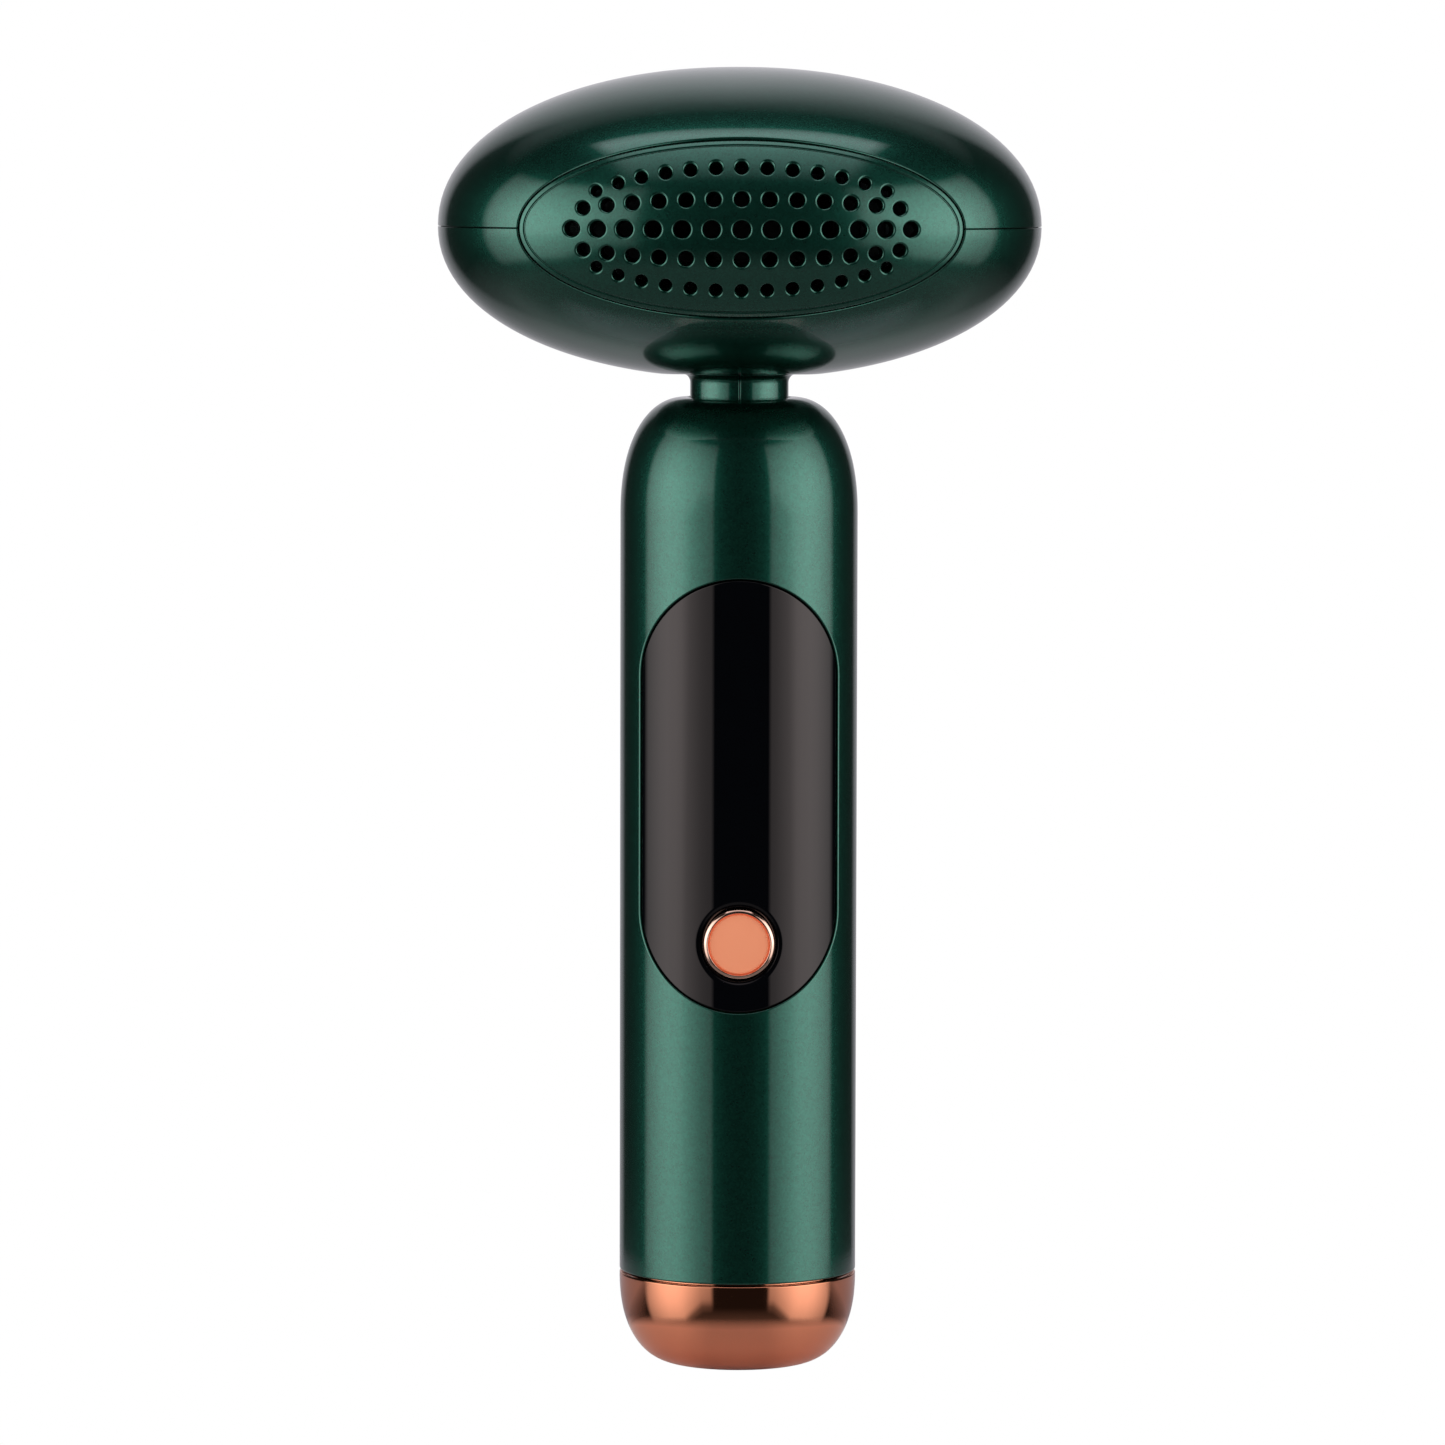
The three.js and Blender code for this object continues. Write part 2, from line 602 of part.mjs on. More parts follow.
// ---------------------------------------------------------------- button and switch, round the button's axis
const BUTTON_FACE_Y = -17.95;
const BOARD_FRONT_Y = -8.4;

const buttonRing = () =>
  ringY(BUTTON_R + 0.25, BUTTON_RING_R, -18.1, -13.9, 28).add(ringY(BUTTON_R + 0.25, 6.4, -14.5, -13.9, 28));

const buttonCap = () =>
  join([
    turnedY(
      [
        [0, BUTTON_FACE_Y],
        [BUTTON_R - 0.35, BUTTON_FACE_Y],
        [BUTTON_R, BUTTON_FACE_Y + 0.35],
        [BUTTON_R, -13.1],
        [0, -13.1],
      ],
      28,
    ),
    rodY(5.6, -13.6, -13, 28),
    rodY(1.2, -13.1, -12.9, 10),
  ]);

const tactSwitch = () =>
  block([-3, 3], [-11.7, BOARD_FRONT_Y - 0.1], [-3, 3]).subtract(rodY(1.9, -12, -10.3, 14));

const switchPlunger = () => rodY(1.6, -12.7, -10.3 - BUTTON_TRAVEL - 0.1, 12);

// ---------------------------------------------------------------- electronics
const BOARD_HALF_WIDTH = 12.4;
const BOARD_Z = [28, 128];
const BOARD_THICKNESS = 1.6;
const BOARD_SCREWS = [-9.6, 9.6].flatMap((x) => [32, 124].map((z) => [x, z]));
const BATTERY_R = 9.2;
const BATTERY_LENGTH = 65;
const BATTERY_Y = 5.4;
const BATTERY_Z = 36;

function mainBoard() {
  const board = block([-BOARD_HALF_WIDTH, BOARD_HALF_WIDTH], [BOARD_FRONT_Y, BOARD_FRONT_Y + BOARD_THICKNESS], BOARD_Z);
  const chips = [
    block([-5, 5], [BOARD_FRONT_Y - 1.2, BOARD_FRONT_Y + 0.1], [46, 54]),
    block([-8, -4], [BOARD_FRONT_Y - 2, BOARD_FRONT_Y + 0.1], [36, 41]),
    block([3, 8.5], [BOARD_FRONT_Y - 3, BOARD_FRONT_Y + 0.1], [36, 42]),
  ];
  const holes = BOARD_SCREWS.map(([x, z]) => rodY(1.2, -20, 0, 8).translate(x, 0, z));
  return join([board, ...chips]).subtract(join(holes));
}

const displayModule = () => block([-8.6, 8.6], [-13.2, BOARD_FRONT_Y - 0.2], [76, 112]);

// A 18650 cell: a can with a shoulder groove and a raised cap.
const batteryCell = () =>
  turnedZ(
    [
      [0, 0],
      [BATTERY_R, 0],
      [BATTERY_R, BATTERY_LENGTH - 4],
      [BATTERY_R - 0.5, BATTERY_LENGTH - 3.4],
      [BATTERY_R, BATTERY_LENGTH - 2.8],
      [BATTERY_R, BATTERY_LENGTH - 0.5],
      [3, BATTERY_LENGTH - 0.5],
      [3, BATTERY_LENGTH + 0.5],
      [0, BATTERY_LENGTH + 0.5],
    ],
    24,
  );

// The tray between the board and the battery, with three cradles for the cell and a table for the head's plug.
function chassis() {
  const back = [BOARD_FRONT_Y + BOARD_THICKNESS + 0.2, -4.4];
  const tray = block([-12.8, 12.8], back, [SPIGOT_TOP_Z + GAP, 134]);
  const cradles = [38, 66, 94].map((z) => {
    const yoke = block([-15.4, 15.4], [back[1] - 0.5, 7], [z, z + 4]);
    return yoke.subtract(rodZ(BATTERY_R + GAP, 20, 120, 24).translate(0, BATTERY_Y, 0));
  });
  const table = rodZ(12.5, 131.5, 134, 24).intersect(block([-20, 20], [-20, 9], [130, 140]));
  const endStops = [
    block([-6, 6], [back[1] - 0.5, 10], [32.4, 35.4]),
    block([-6, 6], [back[1] - 0.5, 10], [103.4, 106.4]),
  ];
  const pilots = BOARD_SCREWS.map(([x, z]) => rodY(0.95, -12, 2, 6).translate(x, 0, z));
  const leadNotch = block([-3.2, 3.2], [-4.3, 11], [30, 110]);
  return join([tray, ...cradles, table, ...endStops.map((stop) => stop.subtract(leadNotch))])
    .subtract(join(pilots))
    .intersect(rodZ(HANDLE_R - HANDLE_WALL - GAP, 0, 200));
}

const headPlug = () => block([-4, 4], [-3, 3], [134.2, 138.4]);

function chargePort() {
  const can = capsule(PORT_HALF_HEIGHT, 2 * PORT_HALF_WIDTH, 10.4, 17.6, 6);
  const mouth = capsule(PORT_HALF_HEIGHT - 0.35, 2 * PORT_HALF_WIDTH - 0.7, 11.2, 18, 6);
  const tongue = block([-0.35, 0.35], [11, 16.6], [-3.3, 3.3]);
  return can.subtract(mouth).add(tongue).rotate([0, 90, 0]);
}

const chargeBoard = () =>
  block([-6.2, 6.2], [-4.1, 14.4], [PORT_Z - PORT_HALF_HEIGHT - 1.5, PORT_Z - PORT_HALF_HEIGHT - GAP]);

// The bundle runs up the swivel's axis and forward under the heat sink to the lamp board.
const HEAD_LOOM = [
  [0, 0, 138.8],
  [0, 0, 147],
  [0, 0, 153],
  [0, 0.3, 155.8],
  [0, 2.7, 158.3],
  [0, 6.5, 159.1],
  [0, 10.5, 159.1],
  [0, 13.5, 159.5],
  [0, 15.9, 160.2],
];

const batteryLead = (side, height) =>
  wire(
    [
      [side * 1.5, 3.4, height],
      [side * 1.9, -1, height + side * 1.2],
      [side * 2.2, -3, height + side * 2.4],
      [side * 2.2, -3.3, height + side * 4.5],
    ],
    0.6,
    14,
  );

// ---------------------------------------------------------------- assembly
function placed(mesh, x, y, z) {
  mesh.position.set(x, y, z);
  return mesh;
}

const fan = group(
  0,
  FAN_REAR_Y,
  0,
  piece("fan_frame", fanFrame(), BLACK_NYLON),
  piece("fan_rotor", fanRotor(), BLACK_NYLON),
  ...corners.map(([x, z], i) =>
    placed(piece(`fan_screw_${i + 1}`, screwY(1, FAN_DEPTH + 4), POLISHED_STEEL), x * FAN_SCREW, -0.1, z * FAN_SCREW),
  ),
);

const shaker = group(
  SHAKER_AT[0],
  SHAKER_AT[1],
  0,
  piece("shaker_motor", shakerMotor(), POLISHED_STEEL),
  piece("shaker_weight", shakerWeight(), POLISHED_STEEL),
);

const turnedToFace = (mesh) => {
  mesh.rotation.z = Math.PI;
  return mesh;
};

const head = group(
  0,
  0,
  HEAD_Z,
  piece("head_upper_shell", headShell(1), GREEN_LACQUER),
  piece("head_lower_shell", lowerShell(), GREEN_LACQUER),
  piece("rear_grille", rearGrille(), GREEN_LACQUER),
  piece("front_bezel", frontBezel(), ROSE_GOLD),
  piece("light_ring", lightRing(), FROSTED_ACRYLIC),
  piece("contact_plate", contactPlate(), POLISHED_ALUMINIUM),
  piece("lamp_board", ledBoard(), CIRCUIT_BOARD),
  placed(piece("peltier_left", peltier(), ALUMINA), -PELTIER_X, 0, 0),
  placed(piece("peltier_right", peltier(), ALUMINA), PELTIER_X, 0, 0),
  piece("heat_sink", heatSink(), ALUMINIUM),
  piece("head_carrier", headCarrier(), BLACK_NYLON),
  ...[-1, 1].map((x, i) =>
    placed(piece(`sink_screw_${i + 1}`, screwY(1, 6), POLISHED_STEEL), x * SINK_SCREW_X, 8.3, 0),
  ),
  ...corners.map(([x, z], i) =>
    placed(
      turnedToFace(piece(`carrier_screw_${i + 1}`, screwY(0.9, 9), POLISHED_STEEL)),
      x * SCREW_POST[0],
      15.1,
      z * SCREW_POST[1],
    ),
  ),
  fan,
  shaker,
);

const pointedDown = (mesh) => {
  mesh.rotation.x = -Math.PI / 2;
  return mesh;
};

const neck = group(
  0,
  0,
  0,
  piece("neck_left_half", neckHalf(-1), GREEN_LACQUER),
  piece("neck_right_half", neckHalf(1), GREEN_LACQUER),
  piece("swivel_tube", swivelTube(), ALUMINIUM),
  piece("neck_clamp", neckClamp(), POLISHED_STEEL),
  ...[-1, 1].map((x, i) =>
    placed(
      pointedDown(piece(`clamp_screw_${i + 1}`, screwY(0.9, 4.4), POLISHED_STEEL)),
      x * CLAMP_SCREW_X,
      0,
      HEAD_FLANGE_Z[1] + 2,
    ),
  ),
  piece("head_loom", wire(HEAD_LOOM, 1.5, 18), BLACK_PVC),
);

const button = group(
  0,
  0,
  BUTTON_Z,
  piece("button_ring", buttonRing(), ROSE_GOLD),
  piece("button_cap", buttonCap(), ROSE_GOLD),
  piece("tact_switch", tactSwitch(), BLACK_NYLON),
  piece("switch_plunger", switchPlunger(), BLACK_NYLON),
);

const handle = group(
  0,
  0,
  0,
  piece("handle_shell", handleShell(), GREEN_LACQUER),
  piece("end_cap", endCap(), ROSE_GOLD),
  piece("cap_seal", capSeal(), RUBBER),
  piece("friction_ring", frictionRing(), RUBBER),
  piece("display_lens", displayLens(), BLACK_ACRYLIC),
  piece("display_module", displayModule(), BLACK_NYLON),
  piece("main_board", mainBoard(), CIRCUIT_BOARD),
  ...BOARD_SCREWS.map(([x, z], i) =>
    placed(piece(`board_screw_${i + 1}`, screwY(0.8, 3.6), POLISHED_STEEL), x, BOARD_FRONT_Y - 0.15, z),
  ),
  piece("chassis", chassis(), BLACK_NYLON),
  placed(piece("battery_cell", batteryCell(), BATTERY_SLEEVE), 0, BATTERY_Y, BATTERY_Z),
  piece("battery_lead_red", batteryLead(1, BATTERY_Z + BATTERY_LENGTH + 1.3), RED_PVC),
  piece("battery_lead_black", batteryLead(-1, BATTERY_Z - 0.9), BLACK_PVC),
  piece("head_plug", headPlug(), BLACK_NYLON),
  placed(piece("charge_port", chargePort(), POLISHED_STEEL), 0, 0, PORT_Z),
  piece("charge_board", chargeBoard(), CIRCUIT_BOARD),
  button,
);

const scrubber = new THREE.Group();
scrubber.add(handle, neck, head);

export default scrubber;
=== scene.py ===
# A handheld skin scrubber: pearl-lacquered shells, a smoked acrylic display strip and copper-plated trim.
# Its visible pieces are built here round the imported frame, and its inner pieces keep their frame solids.
import math

import bpy
import numpy as np
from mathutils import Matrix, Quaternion, Vector
from mathutils.geometry import delaunay_2d_cdt, tessellate_polygon


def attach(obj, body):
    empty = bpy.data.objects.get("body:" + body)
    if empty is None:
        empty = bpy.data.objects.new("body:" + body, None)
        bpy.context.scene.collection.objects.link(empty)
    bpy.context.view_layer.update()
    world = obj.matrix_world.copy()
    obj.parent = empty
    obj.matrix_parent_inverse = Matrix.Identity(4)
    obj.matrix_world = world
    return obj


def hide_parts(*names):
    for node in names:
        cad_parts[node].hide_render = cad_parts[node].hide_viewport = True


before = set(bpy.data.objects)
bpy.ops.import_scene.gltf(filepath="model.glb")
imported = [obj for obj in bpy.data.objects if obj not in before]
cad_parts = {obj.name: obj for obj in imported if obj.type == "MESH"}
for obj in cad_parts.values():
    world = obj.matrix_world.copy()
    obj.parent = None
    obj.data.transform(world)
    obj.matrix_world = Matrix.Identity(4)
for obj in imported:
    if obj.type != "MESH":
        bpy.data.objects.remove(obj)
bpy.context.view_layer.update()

# ---------------------------------------------------------------- sizes, in millimetres
MM = 0.001
HANDLE_R = 18.0
HANDLE_WALL = 2.0
CAP_SEAM_Z = 14.1
CAP_FLAT_R = 8.9
CAP_POWER = 2.27
SHOULDER_Z = (129.6, 147.3)
SHOULDER_POWER = 2.23
CEILING_Z = 144.4
CEILING_POWER = 2.6
NECK_R = 7.45
NECK_LIP_R = 8.62
NECK_LIP_Z = 150.93
NECK_FLARE = 1.3
NECK_BORE_R = 4.6

WINDOW_Z = 88.0
WINDOW_HEIGHT = 65.3
WINDOW_HALF_WIDTH = 14.87
LENS_THICKNESS = 1.8
BUTTON_Z = 65.8
BUTTON_R = 4.5
RING_R = 5.3
DISH_R = 6.3

HEAD_Z = 173.1
HEAD_HALF = (45.6, 38.0, 34.0)
HEAD_UP = 24.0
HEAD_DOWN = 22.95
HEAD_WALL = 2.2
PLAN_POWER = 2.3
SIDE_POWER = 2.1
FACE_Y = 22.0
GRILLE_OPENING = (33.05, 13.3)
GRILLE_HALF = (32.85, 13.1)
GRILLE_WALL = 1.8
VENT_STEP = 5.6
VENTS_EACH_SIDE = 6
VENT_ROWS = (
    (9.15, 27.2, 21.4, 0.95),
    (4.5, 32.1, 23.3, 1.12),
    (0.0, 40.0, 25.0, 1.32),
    (-4.5, 32.1, 23.3, 1.12),
    (-9.15, 27.2, 21.4, 0.95),
)
BEZEL_HALF = (37.6, 18.3)
BEZEL_BORE = (31.9, 13.2)
LIGHT_HALF = (31.6, 12.9)
PLATE_HALF = (28.6, 10.2)
PORT_Z = 26.0
PORT_HALF = (4.95, 2.0)

# Neck flanges inside the handle and the head, and the seam between the neck's halves.
LOW_FLANGE = (10.2, 140.4, 142.4)
HIGH_FLANGE = (9.6, 153.5, 155.0)
NECK_SEAM = 0.06
NECK_SEAM_EDGE = 0.16
# The head's underside rises round the neck, from one radius to the next.
UNDERSIDE_RISE = 0.52
UNDERSIDE_FROM = 8.0
UNDERSIDE_OVER = 5.0

FINE_SEAM = 0.15
HAIRLINE = 0.05
CLOSED = 0.004
SEAM_DEPTH = 0.45
HANDLE_COLUMNS = 96
FLOOR_SIDES = 96
FLOOR_R = 1200.0
FLOOR_DROP = 0.05


# ---------------------------------------------------------------- surfaces
class Skin:
    """Points in millimetres that carry their own smooth normals, and the faces between them."""

    def __init__(self):
        self.points, self.normals, self.faces, self.count = [], [], [], 0

    def add(self, points, normals):
        points, normals = np.asarray(points, float), np.asarray(normals, float)
        index = self.count + np.arange(points[..., 0].size).reshape(points.shape[:-1])
        self.points.append(points.reshape(-1, 3))
        self.normals.append(normals.reshape(-1, 3))
        self.count += points[..., 0].size
        return index

    def quads(self, index, wrap=False):
        """Joins the neighbours in an index grid. If it wraps, its last column meets its first."""
        if wrap:
            index = np.concatenate([index, index[:, :1]], axis=1)
        square = np.stack([index[:-1, :-1], index[:-1, 1:], index[1:, 1:], index[1:, :-1]], axis=-1)
        self.faces.extend(square.reshape(-1, 4).tolist())

    def build(self, name, body, material, replaced=()):
        points, normals = np.concatenate(self.points), np.concatenate(self.normals)
        _, first, same = np.unique(np.round(points, 4), axis=0, return_index=True, return_inverse=True)
        points, normals, same = points[first], normals[first], same.reshape(-1)
        normals /= np.linalg.norm(normals, axis=1, keepdims=True)
        faces = []
        for face in self.faces:
            corners = list(dict.fromkeys(int(same[i]) for i in face))
            if len(corners) > 2:
                a, b, c = points[corners[0]], points[corners[1]], points[corners[2]]
                facing = np.dot(np.cross(b - a, c - a), normals[corners].sum(axis=0))
                if len(corners) == 4 and abs(facing) < 1e-9:
                    a, b, c = points[corners[0]], points[corners[2]], points[corners[3]]
                    facing = np.dot(np.cross(b - a, c - a), normals[corners].sum(axis=0))
                faces.append(corners if facing >= 0 else corners[::-1])
        mesh = bpy.data.meshes.new(name)
        mesh.from_pydata((points * MM).tolist(), [], faces)
        mesh.validate()
        mesh.polygons.foreach_set("use_smooth", [True] * len(mesh.polygons))
        if len(mesh.vertices) == len(points):
            mesh.normals_split_custom_set_from_vertices(normals.tolist())
        mesh.materials.append(material)
        piece = bpy.data.objects.new(name, mesh)
        bpy.context.scene.collection.objects.link(piece)
        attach(piece, body)
        if replaced:
            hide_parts(*replaced)
        return piece


def unit(v):
    return v / np.maximum(np.linalg.norm(v, axis=-1, keepdims=True), 1e-12)


def round_rim(radius, steps=5):
    """A rounded edge as (distance in from the edge, depth, tilt), from flat to upright at the edge."""
    turns = np.linspace(0, math.pi / 2, steps + 1)
    return [(radius * (1 - math.sin(t)), radius * (1 - math.cos(t)), t) for t in turns]


class Loop:
    """An edge of a panel: ring(distance) gives its outline that far inside the material."""

    def __init__(self, ring, rim, hole=True):
        self.ring, self.rim, self.hole = ring, rim, hole


def panel(skin, place, loops, fill, wall, frame_edge=None, back=True):
    """A curved panel over a flat plan, with a shaped rim and an upright wall at each loop.

    place(plan, depth) gives points and outward normals. frame_edge is a plain outline with no rim.
    """
    plan, chains, kind = [], [], []

    def chain(points, label):
        start = len(plan)
        plan.extend(map(tuple, points))
        kind.extend([label] * len(points))
        chains.append(np.arange(start, len(plan)))

    if frame_edge is not None:
        chain(frame_edge, -1)
    for number, loop in enumerate(loops):
        chain(loop.ring(loop.rim[0][0]), number if loop.hole else -1)
    edges = [(int(a), int(b)) for c in chains for a, b in zip(c, np.roll(c, -1))]
    plan.extend(map(tuple, fill))
    kind.extend([-2] * len(fill))
    found = delaunay_2d_cdt([Vector(p) for p in plan], edges, [], 0, 1e-5)
    source = [ids[0] if ids else None for ids in found[3]]
    triangles = []
    for face in found[2]:
        corners = [source[i] for i in face]
        labels = {kind[i] for i in corners}
        if len(labels) == 1 and min(labels) >= 0:
            continue
        triangles.append(corners)
    plan = np.array(plan)
    outer = skin.add(*place(plan, 0.0))
    skin.faces.extend(outer[np.array(triangles)].tolist())
    if back:
        points, normals = place(plan, wall)
        inner = skin.add(points, -normals)
        skin.faces.extend(inner[np.array(triangles)].tolist())
    offset = 0 if frame_edge is None else 1
    for number, loop in enumerate(loops):
        edge_plan = np.array(loop.ring(0.0))
        base, up = place(np.array(loop.ring(loop.rim[0][0])), 0.0)
        toward, _ = place(edge_plan, 0.0)
        aim = toward - base
        aim = unit(aim - up * np.sum(aim * up, axis=-1, keepdims=True))
        rows = [outer[chains[number + offset]]]
        for distance, depth, tilt in loop.rim[1:]:
            points, normals = place(np.array(loop.ring(distance)), depth)
            rows.append(skin.add(points, normals * math.cos(tilt) + aim * math.sin(tilt)))
        points, _ = place(edge_plan, wall)
        rows.append(skin.add(points, aim))
        if back:
            rows.append(inner[chains[number + offset]])
        skin.quads(np.array(rows), wrap=True)


def turned(skin, profile, sides, around="Z", centre=(0, 0, 0), span=None, closed=True):
    """Turns a closed profile of (radius, height, normal out, normal up) round an axis."""
    profile = np.array(profile)
    if closed:
        profile = np.concatenate([profile, profile[:1]])
    turns = np.linspace(0, 2 * math.pi, sides, endpoint=False) if span is None else span
    r, h, nr, nh = (profile[:, None, k] for k in range(4))
    c, s = np.cos(turns)[None], np.sin(turns)[None]
    one = np.ones_like(c)
    if around == "Z":
        points = np.stack([r * c, r * s, h * one], axis=-1)
        normals = np.stack([nr * c, nr * s, nh * one], axis=-1)
    else:
        points = np.stack([r * c, h * one, r * s], axis=-1)
        normals = np.stack([nr * c, nh * one, nr * s], axis=-1)
    skin.quads(skin.add(points + np.array(centre), normals), wrap=span is None)


def outline(*corners, steps=4):
    """A closed, anticlockwise profile from (radius, height, fillet) corners and ready-made runs of points."""
    runs = [c if isinstance(c, list) else None for c in corners]
    points = [None if run else np.array(c[:2], float) for c, run in zip(corners, runs)]
    made = []
    for i, corner in enumerate(corners):
        if runs[i]:
            made.extend(runs[i])
            continue
        before = runs[i - 1][-1][:2] if runs[i - 1] else points[i - 1]
        after_i = (i + 1) % len(corners)
        after = runs[after_i][0][:2] if runs[after_i] else points[after_i]
        arrive, leave = unit(points[i] - np.array(before)), unit(np.array(after) - points[i])
        cross = arrive[0] * leave[1] - arrive[1] * leave[0]
        turn = math.atan2(cross, float(np.dot(arrive, leave)))
        reach = abs(corner[2] * math.tan(turn / 2))
        start = points[i] - arrive * reach
        side = 1.0 if turn > 0 else -1.0
        centre = start + side * corner[2] * np.array([-arrive[1], arrive[0]])
        out = np.array([arrive[1], -arrive[0]])
        for k in range(steps + 1):
            a = turn * k / steps
            c, s = math.cos(a), math.sin(a)
            n = np.array([out[0] * c - out[1] * s, out[0] * s + out[1] * c])
            p = centre + side * corner[2] * n
            made.append((p[0], p[1], n[0], n[1]))
    return made


def quarter(side_r, top_r, low, high, power, steps):
    """A squared-oval quarter from (side_r, low) to (top_r, high), with its true normals."""
    made = []
    for t in np.linspace(0, 1, steps + 1):
        turn = t * math.pi / 2
        u, v = math.cos(turn) ** (2 / power), math.sin(turn) ** (2 / power)
        n = unit(np.array([u ** (power - 1) / (side_r - top_r), v ** (power - 1) / abs(high - low)]))
        up = 1 if high > low else -1
        made.append((top_r + (side_r - top_r) * u, low + (high - low) * v, n[0], n[1] * up))
    return made


# ---------------------------------------------------------------- colours and nodes
def linear(code, alpha=1.0):
    """An sRGB hex colour as linear values."""
    parts = [int(code[i : i + 2], 16) / 255 for i in (1, 3, 5)]
    return tuple(c / 12.92 if c <= 0.04045 else ((c + 0.055) / 1.055) ** 2.4 for c in parts) + (alpha,)


def node(tree, kind, links=(), values=(), **settings):
    """Adds a node with its settings, its socket values and its incoming links."""
    made = tree.nodes.new(kind)
    for name, value in settings.items():
        setattr(made, name, value)
    for socket, value in dict(values).items():
        made.inputs[socket].default_value = value
    for socket, source in dict(links).items():
        tree.links.new(source, made.inputs[socket])
    return made


def material(name, **values):
    """A new material with one shader, its sockets set to the values."""
    made = bpy.data.materials.new(name)
    made.use_nodes = True
    tree = made.node_tree
    tree.nodes.clear()
    shader = node(tree, "ShaderNodeBsdfPrincipled", values=values)
    node(tree, "ShaderNodeOutputMaterial", {"Surface": shader.outputs["BSDF"]})
    place = node(tree, "ShaderNodeTexCoord").outputs["Object"]
    return made, tree, shader, place


def per_metre(millimetres):
    return 1.0 / (millimetres * MM)


def pearl_lacquer(name, deep, light, coat_roughness):
    """ABS sprayed with a pearl base coat under clear lacquer.

    Most flakes lie flat and give a sharp sheen, and the tilted ones a wide one, so two metallic coats
    are mixed.
    Real flakes are too fine to draw at this size, so the grain is drawn coarser and fainter.
    """
    coat = {"Metallic": 1.0, "Coat Weight": 1.0, "Coat Roughness": coat_roughness, "Coat IOR": 1.5}
    made, tree, flat, place = material(name, **coat, Roughness=0.2)
    tilted = node(tree, "ShaderNodeBsdfPrincipled", values={**coat, "Roughness": 0.46})
    flake = node(tree, "ShaderNodeTexVoronoi", {"Vector": place}, {"Scale": per_metre(0.26)})
    cloud = node(tree, "ShaderNodeTexNoise", {"Vector": place}, {"Scale": per_metre(1.1), "Detail": 3.0})
    grain = {0: flake.outputs["Color"], 1: cloud.outputs["Fac"]}
    mixed = node(tree, "ShaderNodeMath", grain, operation="ADD")
    tone = node(tree, "ShaderNodeMapRange", {0: mixed.outputs[0]}, {1: 0.45, 2: 1.55})
    colour = node(tree, "ShaderNodeMix", {"Factor": tone.outputs[0]}, data_type="RGBA")
    colour.inputs[6].default_value = linear(deep)
    colour.inputs[7].default_value = linear(light)
    share = node(tree, "ShaderNodeMapRange", {0: tone.outputs[0]}, {3: 0.45, 4: 0.51})
    both = node(tree, "ShaderNodeMixShader", {0: share.outputs[0], 1: flat.outputs[0], 2: tilted.outputs[0]})
    for shader in (flat, tilted):
        tree.links.new(colour.outputs[2], shader.inputs["Base Color"])
    tree.links.new(both.outputs[0], tree.nodes["Material Output"].inputs["Surface"])
    return made


def plated_copper(name, colour, roughness, coat=1.0, metallic=1.0, **values):
    """ABS vacuum-plated in rose copper under lacquer: a soft mirror with a faint haze from the moulding."""
    made, tree, shader, place = material(
        name, **{"Metallic": metallic, "Coat Weight": coat, "Coat Roughness": 0.05, "Coat IOR": 1.5, **values}
    )
    haze = node(tree, "ShaderNodeTexNoise", {"Vector": place}, {"Scale": per_metre(2.5), "Detail": 4.0})
    rough = node(
        tree,
        "ShaderNodeMapRange",
        {"Value": haze.outputs["Fac"]},
        {"To Min": roughness * 0.85, "To Max": roughness * 1.15},
    )
    tree.links.new(rough.outputs["Result"], shader.inputs["Roughness"])
    tint = node(tree, "ShaderNodeMix", {"Factor": haze.outputs["Fac"]}, data_type="RGBA")
    tint.inputs[6].default_value = linear(colour)
    tint.inputs[7].default_value = tuple(min(1.0, 1.04 * c) for c in linear(colour)[:3]) + (1.0,)
    tree.links.new(tint.outputs[2], shader.inputs["Base Color"])
    return made


def moulded(name, colour, roughness, grain, depth, **values):
    """A moulded or machined surface: one colour, a grain of the given millimetres, and uneven gloss."""
    made, tree, shader, place = material(name, **values)
    speck = node(tree, "ShaderNodeTexNoise", {"Vector": place}, {"Scale": per_metre(grain), "Detail": 3.0})
    tint = node(tree, "ShaderNodeMix", {"Factor": speck.outputs["Fac"]}, data_type="RGBA")
    tint.inputs[6].default_value = tuple(0.85 * c for c in linear(colour)[:3]) + (1.0,)
    tint.inputs[7].default_value = tuple(min(1.0, 1.15 * c) for c in linear(colour)[:3]) + (1.0,)
    tree.links.new(tint.outputs[2], shader.inputs["Base Color"])
    rough = node(
        tree,
        "ShaderNodeMapRange",
        {"Value": speck.outputs["Fac"]},
        {"To Min": roughness * 0.9, "To Max": min(1.0, roughness * 1.1)},
    )
    tree.links.new(rough.outputs["Result"], shader.inputs["Roughness"])
    if depth:
        bump = node(
            tree,
            "ShaderNodeBump",
            {"Height": speck.outputs["Fac"]},
            {"Strength": 0.5, "Distance": depth * MM},
        )
        tree.links.new(bump.outputs["Normal"], shader.inputs["Normal"])
    return made


# The vented panel's clear coat is a little less glossy than the shells'.
GREEN_PEARL = pearl_lacquer("pearl_lacquered_abs", "#1a5345", "#236555", 0.02)
GRILLE_PEARL = pearl_lacquer("pearl_lacquered_abs_grille", "#1a5345", "#236555", 0.12)
# Plated and lacquered: the cap and the rim mirror the room softly, and the ring is polished brighter.
ROSE_COPPER = plated_copper("copper_plated_abs", "#d88a68", 0.075, coat=0.3)
BRIGHT_COPPER = plated_copper("copper_plated_ring", "#f7c8b2", 0.1)
# Blasted before plating, so the button scatters light like paint. Its faint glow stands for a front light.
SATIN_COPPER = plated_copper("satin_copper_button", "#ffa983", 0.5, coat=0.0, metallic=0.05,
                             **{"Emission Color": linear("#ff8a5c"), "Emission Strength": 0.27})
